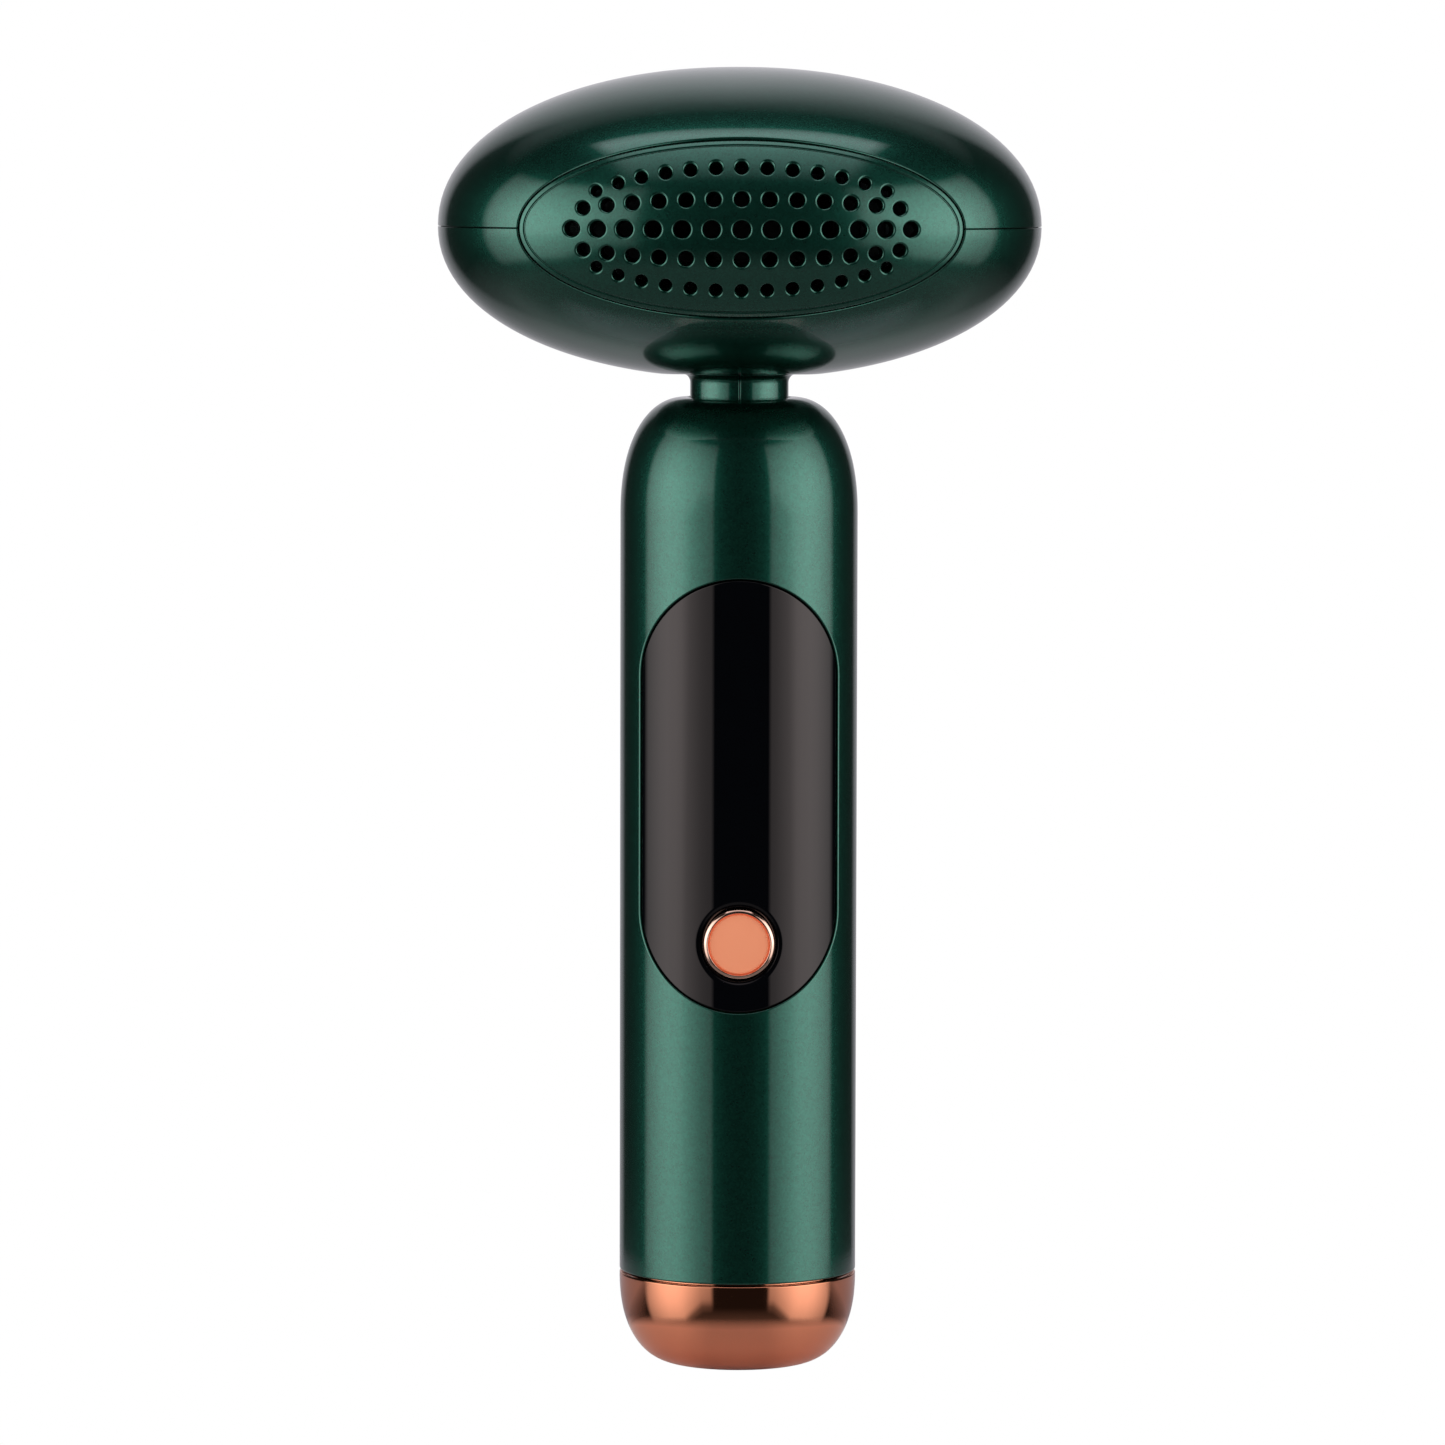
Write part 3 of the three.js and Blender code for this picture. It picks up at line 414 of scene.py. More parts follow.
# Cast and polished: nearly black, with sharp reflections that are a little warm.
SMOKED_ACRYLIC = moulded(
    "smoked_acrylic", "#04060a", 0.03, 3.0, 0, **{"IOR": 1.49, "Specular Tint": (1.0, 0.87, 0.85, 1.0)}
)
# Moulded with a fine texture: milky, and soft at its edges.
FROSTED_ACRYLIC = moulded(
    "frosted_acrylic", "#e9eeee", 0.45, 0.3, 0.004, **{"Subsurface Weight": 0.2, "IOR": 1.49}
)
# Moulded with short glass fibres: dull black and slightly rough.
GLASS_FILLED_NYLON = moulded("glass_filled_nylon", "#17181a", 0.55, 0.4, 0.01)
# Pressed and polished, and below it extruded and left as it comes: a clear mirror and a grey satin.
POLISHED_ALUMINIUM = moulded("polished_aluminium", "#dcdddf", 0.12, 0.6, 0, Metallic=1.0)
EXTRUDED_ALUMINIUM = moulded("extruded_aluminium", "#a8acb1", 0.38, 0.25, 0.004, Metallic=1.0)
# Turned or stamped, then zinc plated: bright and faintly cloudy.
ZINC_STEEL = moulded("zinc_plated_steel", "#b9bcc0", 0.25, 0.3, 0.002, Metallic=1.0)
# Printed on a glass and resin board: a smooth, dark green skin.
SOLDER_MASK = moulded("solder_mask_board", "#14502c", 0.35, 0.8, 0.004)
# Pressed and fired: off-white and matt.
FIRED_ALUMINA = moulded("fired_alumina", "#e8e6e0", 0.6, 0.2, 0.004)
# Moulded rubber: black, and duller than the nylon.
NITRILE_RUBBER = moulded("nitrile_rubber", "#141414", 0.75, 0.3, 0.006)
# Film shrunk round the cell: blue, with a slight waviness.
BATTERY_SLEEVE = moulded("heat_shrink_sleeve", "#2d5c9a", 0.3, 2.0, 0.01)
# Extruded insulation: even colour and a waxy gloss.
RED_WIRE = moulded("red_pvc_wire", "#a01b1b", 0.4, 0.5, 0.002)
BLACK_WIRE = moulded("black_pvc_wire", "#121212", 0.4, 0.5, 0.002)

KEPT = {
    GLASS_FILLED_NYLON: ("display_module", "chassis", "head_plug", "tact_switch", "switch_plunger",
                         "head_carrier", "fan_frame", "fan_rotor"),
    EXTRUDED_ALUMINIUM: ("swivel_tube", "heat_sink"),
    ZINC_STEEL: ("neck_clamp", "charge_port", "shaker_motor", "shaker_weight")
    + tuple(f"board_screw_{i}" for i in (1, 2, 3, 4))
    + tuple(f"carrier_screw_{i}" for i in (1, 2, 3, 4))
    + tuple(f"fan_screw_{i}" for i in (1, 2, 3, 4))
    + tuple(f"{kind}_screw_{i}" for kind in ("clamp", "sink") for i in (1, 2)),
    SOLDER_MASK: ("main_board", "charge_board", "lamp_board"),
    FIRED_ALUMINA: ("peltier_left", "peltier_right"),
    NITRILE_RUBBER: ("cap_seal", "friction_ring"),
    BATTERY_SLEEVE: ("battery_cell",),
    RED_WIRE: ("battery_lead_red",),
    BLACK_WIRE: ("battery_lead_black", "head_loom"),
}
for finish, names in KEPT.items():
    for name in names:
        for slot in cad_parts[name].material_slots:
            slot.material = finish


# ---------------------------------------------------------------- head
def head_limits(y, z):
    return np.where(y < 0, HEAD_HALF[1], HEAD_HALF[2]), np.where(z < 0, HEAD_DOWN, HEAD_UP)


def head_level(p):
    """1 on the head's surface, and less inside it."""
    b, c = head_limits(p[..., 1], p[..., 2])
    plan = (np.abs(p[..., 0]) / HEAD_HALF[0]) ** PLAN_POWER + (np.abs(p[..., 1]) / b) ** PLAN_POWER
    return plan ** (SIDE_POWER / PLAN_POWER) + (np.abs(p[..., 2]) / c) ** SIDE_POWER


def head_normal(p):
    b, c = head_limits(p[..., 1], p[..., 2])
    x, y, z = (np.abs(p[..., k]) for k in range(3))
    plan = np.maximum((x / HEAD_HALF[0]) ** PLAN_POWER + (y / b) ** PLAN_POWER, 1e-12)
    lift = plan ** (SIDE_POWER / PLAN_POWER - 1)
    n = np.stack(
        [
            lift * (x / HEAD_HALF[0]) ** (PLAN_POWER - 1) / HEAD_HALF[0] * np.sign(p[..., 0]),
            lift * (y / b) ** (PLAN_POWER - 1) / b * np.sign(p[..., 1]),
            (z / c) ** (SIDE_POWER - 1) / c * np.sign(p[..., 2]),
        ],
        axis=-1,
    )
    return unit(n)


def head_at(direction):
    return direction * head_level(direction)[..., None] ** (-1 / SIDE_POWER)


def head_rear(plan, depth):
    """Points on the rear of the head over (x, z), and their normals."""
    x, z = plan[:, 0], plan[:, 1]
    c = np.where(z < 0, HEAD_DOWN, HEAD_UP)
    left = (1 - (np.abs(z) / c) ** SIDE_POWER) ** (PLAN_POWER / SIDE_POWER)
    y = -HEAD_HALF[1] * (left - (np.abs(x) / HEAD_HALF[0]) ** PLAN_POWER) ** (1 / PLAN_POWER)
    p = np.stack([x, y, z], axis=-1)
    n = head_normal(p)
    return p - n * depth + np.array([0, 0, HEAD_Z]), n


def meridian(turn, share, side):
    """Points of the shell: turn goes round the grille from +X, and share from its opening to the face."""
    c, s = np.cos(turn), np.sin(turn)
    open_r = 1 / np.sqrt((c / GRILLE_OPENING[0]) ** 2 + (s / GRILLE_OPENING[1]) ** 2)
    rim, _ = head_rear(np.stack([(open_r * c).ravel(), (side * open_r * s).ravel()], axis=-1), 0.0)
    start = np.arctan2(open_r, -rim[:, 1].reshape(turn.shape))
    low, high = np.zeros_like(turn), np.full_like(turn, 60.0)
    for _ in range(40):
        mid = (low + high) / 2
        inside = head_level(np.stack([mid * c, np.full_like(mid, FACE_Y), side * mid * s], axis=-1)) < 1
        low, high = np.where(inside, mid, low), np.where(inside, high, mid)
    end = np.arctan2(low, -FACE_Y)
    tilt = start + (end - start) * share
    return head_at(np.stack([np.sin(tilt) * c, -np.cos(tilt), side * np.sin(tilt) * s], axis=-1))


def turn_at_height(height, share, side):
    """The turn at which the shell is this high above its seam, near +X."""
    turn = np.zeros_like(share)
    for _ in range(8):
        p = meridian(turn, share, side)
        turn = np.arcsin(np.clip(height / np.hypot(p[..., 0], p[..., 2]), -1, 1))
    return turn


def head_shell(name, replaced, side):
    round_edge = 0.12
    edge, sides, across = round_rim(round_edge), 110, 64
    lip = round_rim(0.3, 5)
    trial = meridian(np.full(9, math.pi / 4), np.linspace(0, 1, 9), side)
    length = np.linalg.norm(np.diff(trial, axis=0), axis=1).sum()
    inner = np.linspace(lip[0][0] / length, 1 - round_edge / length, across)
    share = np.concatenate(
        [
            [0.0],
            [d / length for d, _, _ in lip[:0:-1]],
            inner,
            [1 - d / length for d, _, _ in edge[1:]],
            [1.0],
        ]
    )
    sink_c = np.concatenate([[HEAD_WALL], [h for _, h, _ in lip[:0:-1]], np.zeros(across),
                             [h for _, h, _ in edge[1:]], [HEAD_WALL]])
    tilt_c = np.concatenate([[-math.pi / 2], [-t for _, _, t in lip[:0:-1]], np.zeros(across),
                             [t for _, _, t in edge[1:]], [math.pi / 2]])
    seam = [(CLOSED, HEAD_WALL, math.pi / 2), (CLOSED, SEAM_DEPTH, math.pi / 2),
            (HAIRLINE, SEAM_DEPTH - 0.01, math.pi / 2)]
    seam += [(HAIRLINE + d, h, t) for d, h, t in edge[:0:-1]]
    first = [turn_at_height(height, share, side) for height, _, _ in seam]
    start = turn_at_height(HAIRLINE + round_edge, share, side)
    middle = [start + (math.pi - 2 * start) * i / sides for i in range(sides + 1)]
    turns = np.array(first + middle + [math.pi - t for t in first[::-1]])
    sink_r = np.array([h for _, h, _ in seam] + [0] * (sides + 1) + [h for _, h, _ in seam[::-1]])
    tilt_r = np.array([t for _, _, t in seam] + [0] * (sides + 1) + [t for _, _, t in seam[::-1]])
    base = meridian(turns, np.tile(share, (len(turns), 1)), side)
    up = head_normal(base)
    along = np.gradient(base, axis=1)
    along = unit(along - up * np.sum(along * up, axis=-1, keepdims=True))
    down = unit(np.array([0, 0, -side]) - up * (up @ np.array([0, 0, -side]))[..., None])
    depth = np.minimum(sink_r[:, None] + sink_c[None], HEAD_WALL)
    bend = (
        up * (np.cos(tilt_r)[:, None] * np.cos(tilt_c)[None])[..., None]
        + down * np.sin(tilt_r)[:, None, None]
        + along * np.sin(tilt_c)[None, :, None]
    )
    lift = np.array([0, 0, HEAD_Z])
    skin = Skin()
    spots, bend = base - up * depth[..., None] + lift, unit(bend)
    if side < 0:
        # The underside rises a little round the neck.
        away = np.hypot(base[..., 0], base[..., 1])
        share = np.clip((away - UNDERSIDE_FROM) / UNDERSIDE_OVER, 0, 1)
        rise = np.where(base[..., 2] < 0, UNDERSIDE_RISE * (1 - share**2 * (3 - 2 * share)), 0)
        slope = np.where(base[..., 2] < 0, -UNDERSIDE_RISE * 6 * share * (1 - share) / UNDERSIDE_OVER, 0)
        spots[..., 2] += rise
        out = base[..., :2] / np.maximum(away, 1e-6)[..., None]
        bend[..., :2] += out * (slope * np.abs(bend[..., 2]))[..., None]
        lift = lift + rise[..., None] * np.array([0, 0, 1.0])
    outer = skin.add(spots, unit(bend))
    inside = skin.add(base - up * HEAD_WALL + lift, -up)
    if side > 0:
        skin.quads(outer)
        skin.quads(inside)
        return skin.build(name, "head", GREEN_PEARL, [replaced])
    for index in (outer, inside):
        corners = np.stack([index[:-1, :-1], index[:-1, 1:], index[1:, 1:], index[1:, :-1]], axis=-1)
        corners = corners.reshape(-1, 4)
        spots = np.concatenate(skin.points)[corners].mean(axis=1)
        clear = np.hypot(spots[:, 0], spots[:, 1]) > NECK_R + 0.25
        clear |= spots[:, 2] > HEAD_Z
        skin.faces.extend(corners[clear].tolist())
    return skin.build(name, "head", GREEN_PEARL, [replaced])


def ellipse_ring(half, count):
    turns = np.linspace(0, 2 * math.pi, count, endpoint=False)
    flat = np.stack([np.cos(turns) * half[0], np.sin(turns) * half[1]], axis=-1)
    out = unit(np.stack([np.cos(turns) / half[0], np.sin(turns) / half[1]], axis=-1))
    return lambda distance: flat - out * distance


def circle_ring(x, z, radius, count):
    turns = np.linspace(0, 2 * math.pi, count, endpoint=False)
    out = np.stack([np.cos(turns), np.sin(turns)], axis=-1)
    return lambda distance: np.array([x, z]) + out * (radius + distance)


def vent_places():
    for height, bow, last, radius in VENT_ROWS:
        for i in range(-VENTS_EACH_SIDE, VENTS_EACH_SIDE + 1):
            reach = math.sin(math.radians(VENTS_EACH_SIDE * VENT_STEP))
            x = last * math.sin(math.radians(i * VENT_STEP)) / reach
            yield x, height * math.sqrt(1 - (x / bow) ** 2), radius * (1 - 0.14 * (x / last) ** 2)


def rear_grille():
    rim, vents, pitch = 0.35, list(vent_places()), 0.9
    border = [(1.0, 0.0, 0.0), (0.9, 0.03, 0.7), (0.82, 0.09, 0.5), (0.74, 0.09, -0.5), (0.66, 0.03, -0.7),
              (0.56, 0.0, 0.0)] + round_rim(0.2)
    loops = [Loop(ellipse_ring(GRILLE_HALF, 240), border, hole=False)]
    loops += [Loop(circle_ring(x, z, r, 28), round_rim(rim)) for x, z, r in vents]
    fill = []
    for j in range(-16, 17):
        for i in range(-40, 41):
            x, z = (i + 0.5 * (j % 2)) * pitch, j * pitch * 0.87
            if (x / (GRILLE_HALF[0] - 1.5)) ** 2 + (z / (GRILLE_HALF[1] - 1.5)) ** 2 > 1:
                continue
            if all(math.hypot(x - hx, z - hz) > r + rim + 0.3 for hx, hz, r in vents):
                fill.append((x, z))
    skin = Skin()
    panel(skin, lambda plan, depth: head_rear(plan, depth + 0.05), loops, fill, GRILLE_WALL)
    return skin.build("rear_grille_panel", "head", GRILLE_PEARL, ["rear_grille"])


def oval_turned(name, profile, half, body, finish, replaced, sides=160):
    """An oval ring or disc: profile gives (distance out from the oval, y, normal out, normal along y)."""
    profile = np.array(profile)
    profile = np.concatenate([profile, profile[:1]])
    turns = np.linspace(0, 2 * math.pi, sides, endpoint=False)
    flat = np.stack([np.cos(turns) * half[0], np.sin(turns) * half[1]], axis=-1)
    out = unit(np.stack([np.cos(turns) / half[0], np.sin(turns) / half[1]], axis=-1))
    ring = flat[None] + out[None] * profile[:, None, :1]
    y = np.broadcast_to(profile[:, None, 1], ring.shape[:2])
    points = np.stack([ring[..., 0], y, ring[..., 1] + HEAD_Z], axis=-1)
    level = np.broadcast_to(profile[:, None, 3], ring.shape[:2])
    outward = profile[:, None, 2]
    normals = np.stack([out[None, :, 0] * outward, level, out[None, :, 1] * outward], axis=-1)
    skin = Skin()
    skin.quads(skin.add(points, normals), wrap=True)
    return skin.build(name, body, finish, replaced)


def front_face():
    wide = BEZEL_HALF[0] - BEZEL_BORE[0]
    bezel = outline(
        (0.0, 17.0, 0.2), (0.8, 17.0, 0.2), (0.8, FACE_Y + 0.3, 0.1), (wide, FACE_Y + 0.3, 0.3),
        (wide - 0.5, FACE_Y + 2.3, 0.9), (0.0, FACE_Y + 2.3, 0.6), steps=5,
    )
    oval_turned("front_rim", bezel, BEZEL_BORE, "head", ROSE_COPPER, ["front_bezel"])
    inner = -(LIGHT_HALF[0] - PLATE_HALF[0] - 0.3)
    ring = outline((inner, 18.8, 0.2), (0.0, 18.8, 0.2), (0.0, 23.6, 0.5), (inner, 23.4, 0.5))
    oval_turned("frosted_light_ring", ring, LIGHT_HALF, "head", FROSTED_ACRYLIC, ["light_ring"])


def contact_plate():
    """A pressed pan with a shallow dome, a rolled edge, and a thick pad behind it."""
    skin = Skin()
    turns, rings = np.linspace(0, 2 * math.pi, 160, endpoint=False), np.linspace(0, 1, 26)
    roll = round_rim(0.7, 6)
    spots, normals = [], []

    def dome(x, z):
        a, c, h = PLATE_HALF[0] * 1.35, PLATE_HALF[1] * 1.35, 3.4
        up = np.sqrt(1 - (x / a) ** 2 - (z / c) ** 2)
        return 22.6 + h * up, unit(np.stack([x / a**2, up / h, z / c**2], axis=-1))

    out = unit(np.stack([np.cos(turns) / PLATE_HALF[0], np.sin(turns) / PLATE_HALF[1]], axis=-1))
    aim = np.stack([out[:, 0], np.zeros(160), out[:, 1]], axis=-1)
    edge = np.stack([np.cos(turns) * PLATE_HALF[0], np.sin(turns) * PLATE_HALF[1]], axis=-1)
    rim_in = edge - out * 0.7
    for share in rings:
        x, z = (rim_in * share).T
        y, n = dome(x, z)
        spots.append(np.stack([x, y, z], axis=-1))
        normals.append(n)
    for distance, depth, tilt in roll[1:]:
        x, z = (edge - out * distance).T
        y, n = dome(*rim_in.T)
        spots.append(np.stack([x, y - depth, z], axis=-1))
        normals.append(n * math.cos(tilt) + aim * math.sin(tilt))
    x, z = edge.T
    spots.append(np.stack([x, np.full(160, 18.6), z], axis=-1))
    normals.append(aim)
    x, z = (edge - out * 1.2).T
    spots.append(np.stack([x, np.full(160, 18.6), z], axis=-1))
    normals.append(-aim)
    spots.append(np.stack([x, np.full(160, 22.0), z], axis=-1))
    normals.append(-aim)
    for share in (0.85, 0.0):
        x, z = ((edge - out * 1.2) * share).T
        spots.append(np.stack([x, np.full(160, 22.0), z], axis=-1))
        normals.append(np.tile([0, -1.0, 0], (160, 1)))
    skin.quads(skin.add(np.array(spots) + np.array([0, 0, HEAD_Z]), np.array(normals)), wrap=True)
    return skin.build("domed_contact_plate", "head", POLISHED_ALUMINIUM, ["contact_plate"])


# ---------------------------------------------------------------- neck
def neck_half(name, replaced, side):
    """Half of the flanged swivel tube, with softened edges along its upright seam."""
    flare = []
    for t in np.linspace(0, math.pi / 2, 9):
        flare.append((NECK_R + (NECK_LIP_R - NECK_R) * (1 - math.cos(t)),
                      NECK_LIP_Z - 0.15 - NECK_FLARE * (1 - math.sin(t)),
                      math.cos(t), -math.sin(t)))
    profile = outline(
        (NECK_BORE_R, LOW_FLANGE[1], 0.1), (LOW_FLANGE[0], LOW_FLANGE[1], 0.3),
        (LOW_FLANGE[0], LOW_FLANGE[2], 0.3), (NECK_R, LOW_FLANGE[2], 0.2), flare,
        (NECK_LIP_R, NECK_LIP_Z, 0.05), (NECK_R - 0.1, NECK_LIP_Z, 0.05),
        (NECK_R - 0.1, HIGH_FLANGE[1], 0.05), (HIGH_FLANGE[0], HIGH_FLANGE[1], 0.1),
        (HIGH_FLANGE[0], HIGH_FLANGE[2], 0.2), (NECK_BORE_R, HIGH_FLANGE[2], 0.1),
    )
    profile = np.array(profile + profile[:1])
    rows = [(NECK_SEAM + d, h, t) for d, h, t in round_rim(NECK_SEAM_EDGE)[::-1]]
    skin = Skin()
    r, h, nr, nh = profile.T
    turns, sinks, tilts = [], [], []
    for distance, depth, tilt in rows:
        turns.append(np.arcsin(distance / np.maximum(r, 1)))
        sinks.append(depth)
        tilts.append(tilt)
    start = np.arcsin((NECK_SEAM + NECK_SEAM_EDGE) / np.maximum(r, 1))
    for share in np.linspace(0, 1, 49)[1:-1]:
        turns.append(start + (math.pi - 2 * start) * share)
        sinks.append(0.0)
        tilts.append(0.0)
    count = len(rows)
    turns += [math.pi - t for t in turns[:count][::-1]]
    sinks += sinks[:count][::-1]
    tilts += [-t for t in tilts[:count][::-1]]
    turns, sinks, tilts = np.array(turns), np.array(sinks)[:, None], np.array(tilts)[:, None]
    c, s = np.cos(turns), np.sin(turns)
    # Turn 0 looks along -Y and turn pi along +Y, and this half lies on its side of X.
    out = np.stack([s * side, -c, np.zeros_like(c)], axis=-1)
    toward = np.stack([-c * side, -s, np.zeros_like(c)], axis=-1)
    normals = (out * nr[None, :, None] + np.array([0, 0, 1.0]) * nh[None, :, None]) * np.cos(tilts)[..., None]
    normals = normals + toward * np.sin(tilts)[..., None]
    base = out * r[None, :, None] + np.stack([0 * c, 0 * c, np.broadcast_to(h, c.shape)], axis=-1)
    flat = out * nr[None, :, None] + np.array([0, 0, 1.0]) * nh[None, :, None]
    index = skin.add(base - flat * sinks[..., None], normals)
    skin.quads(index)
    cut = tessellate_polygon([[Vector((a, b, 0.0)) for a, b in profile[:-1, :2]]])
    for row in (index[0], index[-1]):
        skin.faces.extend([int(row[i]) for i in corners] for corners in cut)
    return skin.build(name, "head", GREEN_PEARL, [replaced])


# ---------------------------------------------------------------- handle
def stadium(half_width, height, count_end, count_side):
    """ring(distance) of an upright outline with straight sides and round ends, centred on the origin."""
    straight = height / 2 - half_width
    spots, outs = [], []
    for centre, first in ((straight, 0.0), (-straight, math.pi)):
        for t in np.linspace(0, math.pi, count_end + 1):
            n = (math.cos(first + t), math.sin(first + t))
            spots.append((half_width * n[0], centre + half_width * n[1]))
            outs.append(n)
        sign = -1 if first == 0.0 else 1
        for share in np.linspace(0, 1, count_side + 1)[1:-1]:
            spots.append((sign * half_width, centre + (-centre - centre) * share))
            outs.append((sign, 0.0))
    return np.array(spots), np.array(outs)


def on_cylinder(plan, depth):
    """(arc length from -Y, height) on the handle."""
    turn = plan[:, 0] / HANDLE_R
    n = np.stack([np.sin(turn), -np.cos(turn), np.zeros_like(turn)], axis=-1)
    p = n * (HANDLE_R - depth)
    p[:, 2] = plan[:, 1]
    return p, n


def wrapped(spots, outs, distance, centre_z, outward=True):
    """A drawn outline cut straight along Y into the handle, so only its X changes to arc length."""
    flat = spots + outs * (distance if outward else -distance)
    return np.stack([HANDLE_R * np.arcsin(flat[:, 0] / HANDLE_R), flat[:, 1] + centre_z], axis=-1)


def cylinder_fill(low, high, step, clear):
    """Points at even turns and heights, where clear(x, z) allows."""
    found = []
    for i in range(1, HANDLE_COLUMNS):
        arc = -math.pi / 2 * HANDLE_R + 2 * math.pi * HANDLE_R * i / HANDLE_COLUMNS
        for z in np.arange(low + step, high - step / 2, step):
            if clear(arc, z):
                found.append((arc, z))
    return found


def outside_stadium(x, z, half_width, height, margin):
    return math.hypot(x, max(abs(z) - (height / 2 - half_width), 0.0)) > half_width + margin


def handle_shell():
    skin = Skin()
    low, high = CAP_SEAM_Z + FINE_SEAM + 0.3, SHOULDER_Z[0]
    arcs = -math.pi / 2 * HANDLE_R + 2 * math.pi * HANDLE_R * np.arange(HANDLE_COLUMNS + 1) / HANDLE_COLUMNS
    sides = np.arange(low + 2.4, high - 1.2, 2.4)
    frame_edge = (
        [(a, low) for a in arcs]
        + [(arcs[-1], z) for z in sides]
        + [(a, high) for a in arcs[::-1]]
        + [(arcs[0], z) for z in sides[::-1]]
    )
    spots, outs = stadium(WINDOW_HALF_WIDTH, WINDOW_HEIGHT, 48, 34)
    window = Loop(lambda d: wrapped(spots, outs, d, WINDOW_Z), round_rim(0.25))
    port_spots, port_outs = stadium(PORT_HALF[1], 2 * PORT_HALF[0], 14, 8)
    port_spots, port_outs = port_spots[:, ::-1] * [1, -1], port_outs[:, ::-1] * [1, -1]

    def port_ring(distance):
        flat = wrapped(port_spots, port_outs, distance, PORT_Z)
        flat[:, 0] += math.pi * HANDLE_R
        return flat

    def clear(arc, z):
        turn = arc / HANDLE_R
        x = HANDLE_R * math.sin(turn)
        if math.cos(turn) > 0:
            return outside_stadium(x, z - WINDOW_Z, WINDOW_HALF_WIDTH, WINDOW_HEIGHT, 0.9)
        return outside_stadium(z - PORT_Z, x, PORT_HALF[1], 2 * PORT_HALF[0], 0.7)

    fill = cylinder_fill(low, high, 2.4, clear)
    panel(skin, on_cylinder, [window, Loop(port_ring, round_rim(0.25))], fill, HANDLE_WALL, frame_edge)
    turns = arcs / HANDLE_R - math.pi / 2
    inner_r = HANDLE_R - HANDLE_WALL
    dome = quarter(HANDLE_R, NECK_R + 0.6, *SHOULDER_Z, SHOULDER_POWER, 40)
    ceiling = quarter(inner_r, NECK_R + 0.3, SHOULDER_Z[0], CEILING_Z, CEILING_POWER, 20)
    top = SHOULDER_Z[1]
    lip = [(NECK_R + 0.6 - 0.3 * math.sin(t), top - 0.3 * (1 - math.cos(t)), -math.sin(t), math.cos(t))
           for t in np.linspace(0, math.pi / 2, 5)][1:]
    under = [(r, z, -nr, -nz) for r, z, nr, nz in ceiling[::-1]]
    turned(skin, dome + lip + under, 0, span=turns, closed=False)
    foot = [(HANDLE_R - 0.3 * (1 - math.cos(t)), low - 0.3 * math.sin(t), math.cos(t), -math.sin(t))
            for t in np.linspace(0, math.pi / 2, 5)]
    foot += [(inner_r, low - 0.3, -0.7, -0.7), (inner_r, low, -1, 0)]
    turned(skin, foot, 0, span=turns, closed=False)
    return skin.build("lacquered_handle", "handle", GREEN_PEARL, ["handle_shell"])


def display_lens():
    """A curved strip flush with the handle, with a polished edge and a dish round the button."""
    skin = Skin()
    spots, outs = stadium(WINDOW_HALF_WIDTH - 0.22, WINDOW_HEIGHT - 0.44, 48, 34)
    edge = Loop(lambda d: wrapped(spots, outs, d, WINDOW_Z, outward=False), round_rim(0.18), hole=False)
    count, hole_r = 72, RING_R + 0.25
    turns = np.linspace(0, 2 * math.pi, count, endpoint=False)
    out = np.stack([np.cos(turns), np.sin(turns)], axis=-1)
    wide = DISH_R - hole_r
    dish = [(wide + 0.35, 0.0, 0.0), (wide + 0.15, 0.02, 0.16), (wide - 0.05, 0.08, 0.4),
            (0.45, 0.28, 0.62), (0.2, 0.5, 0.8), (0.06, 0.66, 1.1), (0.0, 0.8, 1.5)]
    hole = Loop(lambda d: wrapped(out * hole_r, out, d, BUTTON_Z), dish)

    def clear(arc, z):
        turn = arc / HANDLE_R
        if math.cos(turn) <= 0:
            return False
        x = HANDLE_R * math.sin(turn)
        if outside_stadium(x, z - WINDOW_Z, WINDOW_HALF_WIDTH, WINDOW_HEIGHT, -0.9):
            return False
        return math.hypot(x, z - BUTTON_Z) > DISH_R + 1.2

    fill = cylinder_fill(WINDOW_Z - WINDOW_HEIGHT / 2, WINDOW_Z + WINDOW_HEIGHT / 2, 1.2, clear)
    panel(skin, on_cylinder, [edge, hole], fill, LENS_THICKNESS)
    return skin.build("smoked_display_strip", "handle", SMOKED_ACRYLIC, ["display_lens"])


def end_cap():
    seam = CAP_SEAM_Z - FINE_SEAM
    side = quarter(HANDLE_R, CAP_FLAT_R, seam - 0.25, 0.0, CAP_POWER, 44)
    profile = [(0.0, 0.0, 0.0, -1.0)] + side[::-1]
    profile += [(HANDLE_R - 0.25 * (1 - math.cos(t)), seam - 0.25 * (1 - math.sin(t)),
                 math.cos(t), math.sin(t)) for t in np.linspace(0, math.pi / 2, 5)][1:]
    # The spigot that plugs into the handle, with its seal groove, and the hollow inside the cap.
    profile += outline((15.7, seam, 0.05), (15.7, 16.1, 0.05), (14.7, 16.1, 0.05), (14.7, 17.7, 0.05),
                       (15.7, 17.7, 0.05), (15.7, 20.0, 0.2), (14.1, 20.0, 0.2), (14.1, 9.0, 2.0),
                       (9.0, 2.2, 2.0), (0.0, 2.2, 0.0))[1:]
    skin = Skin()
    turned(skin, profile, 128)
    return skin.build("copper_end_cap", "handle", ROSE_COPPER, ["end_cap"])


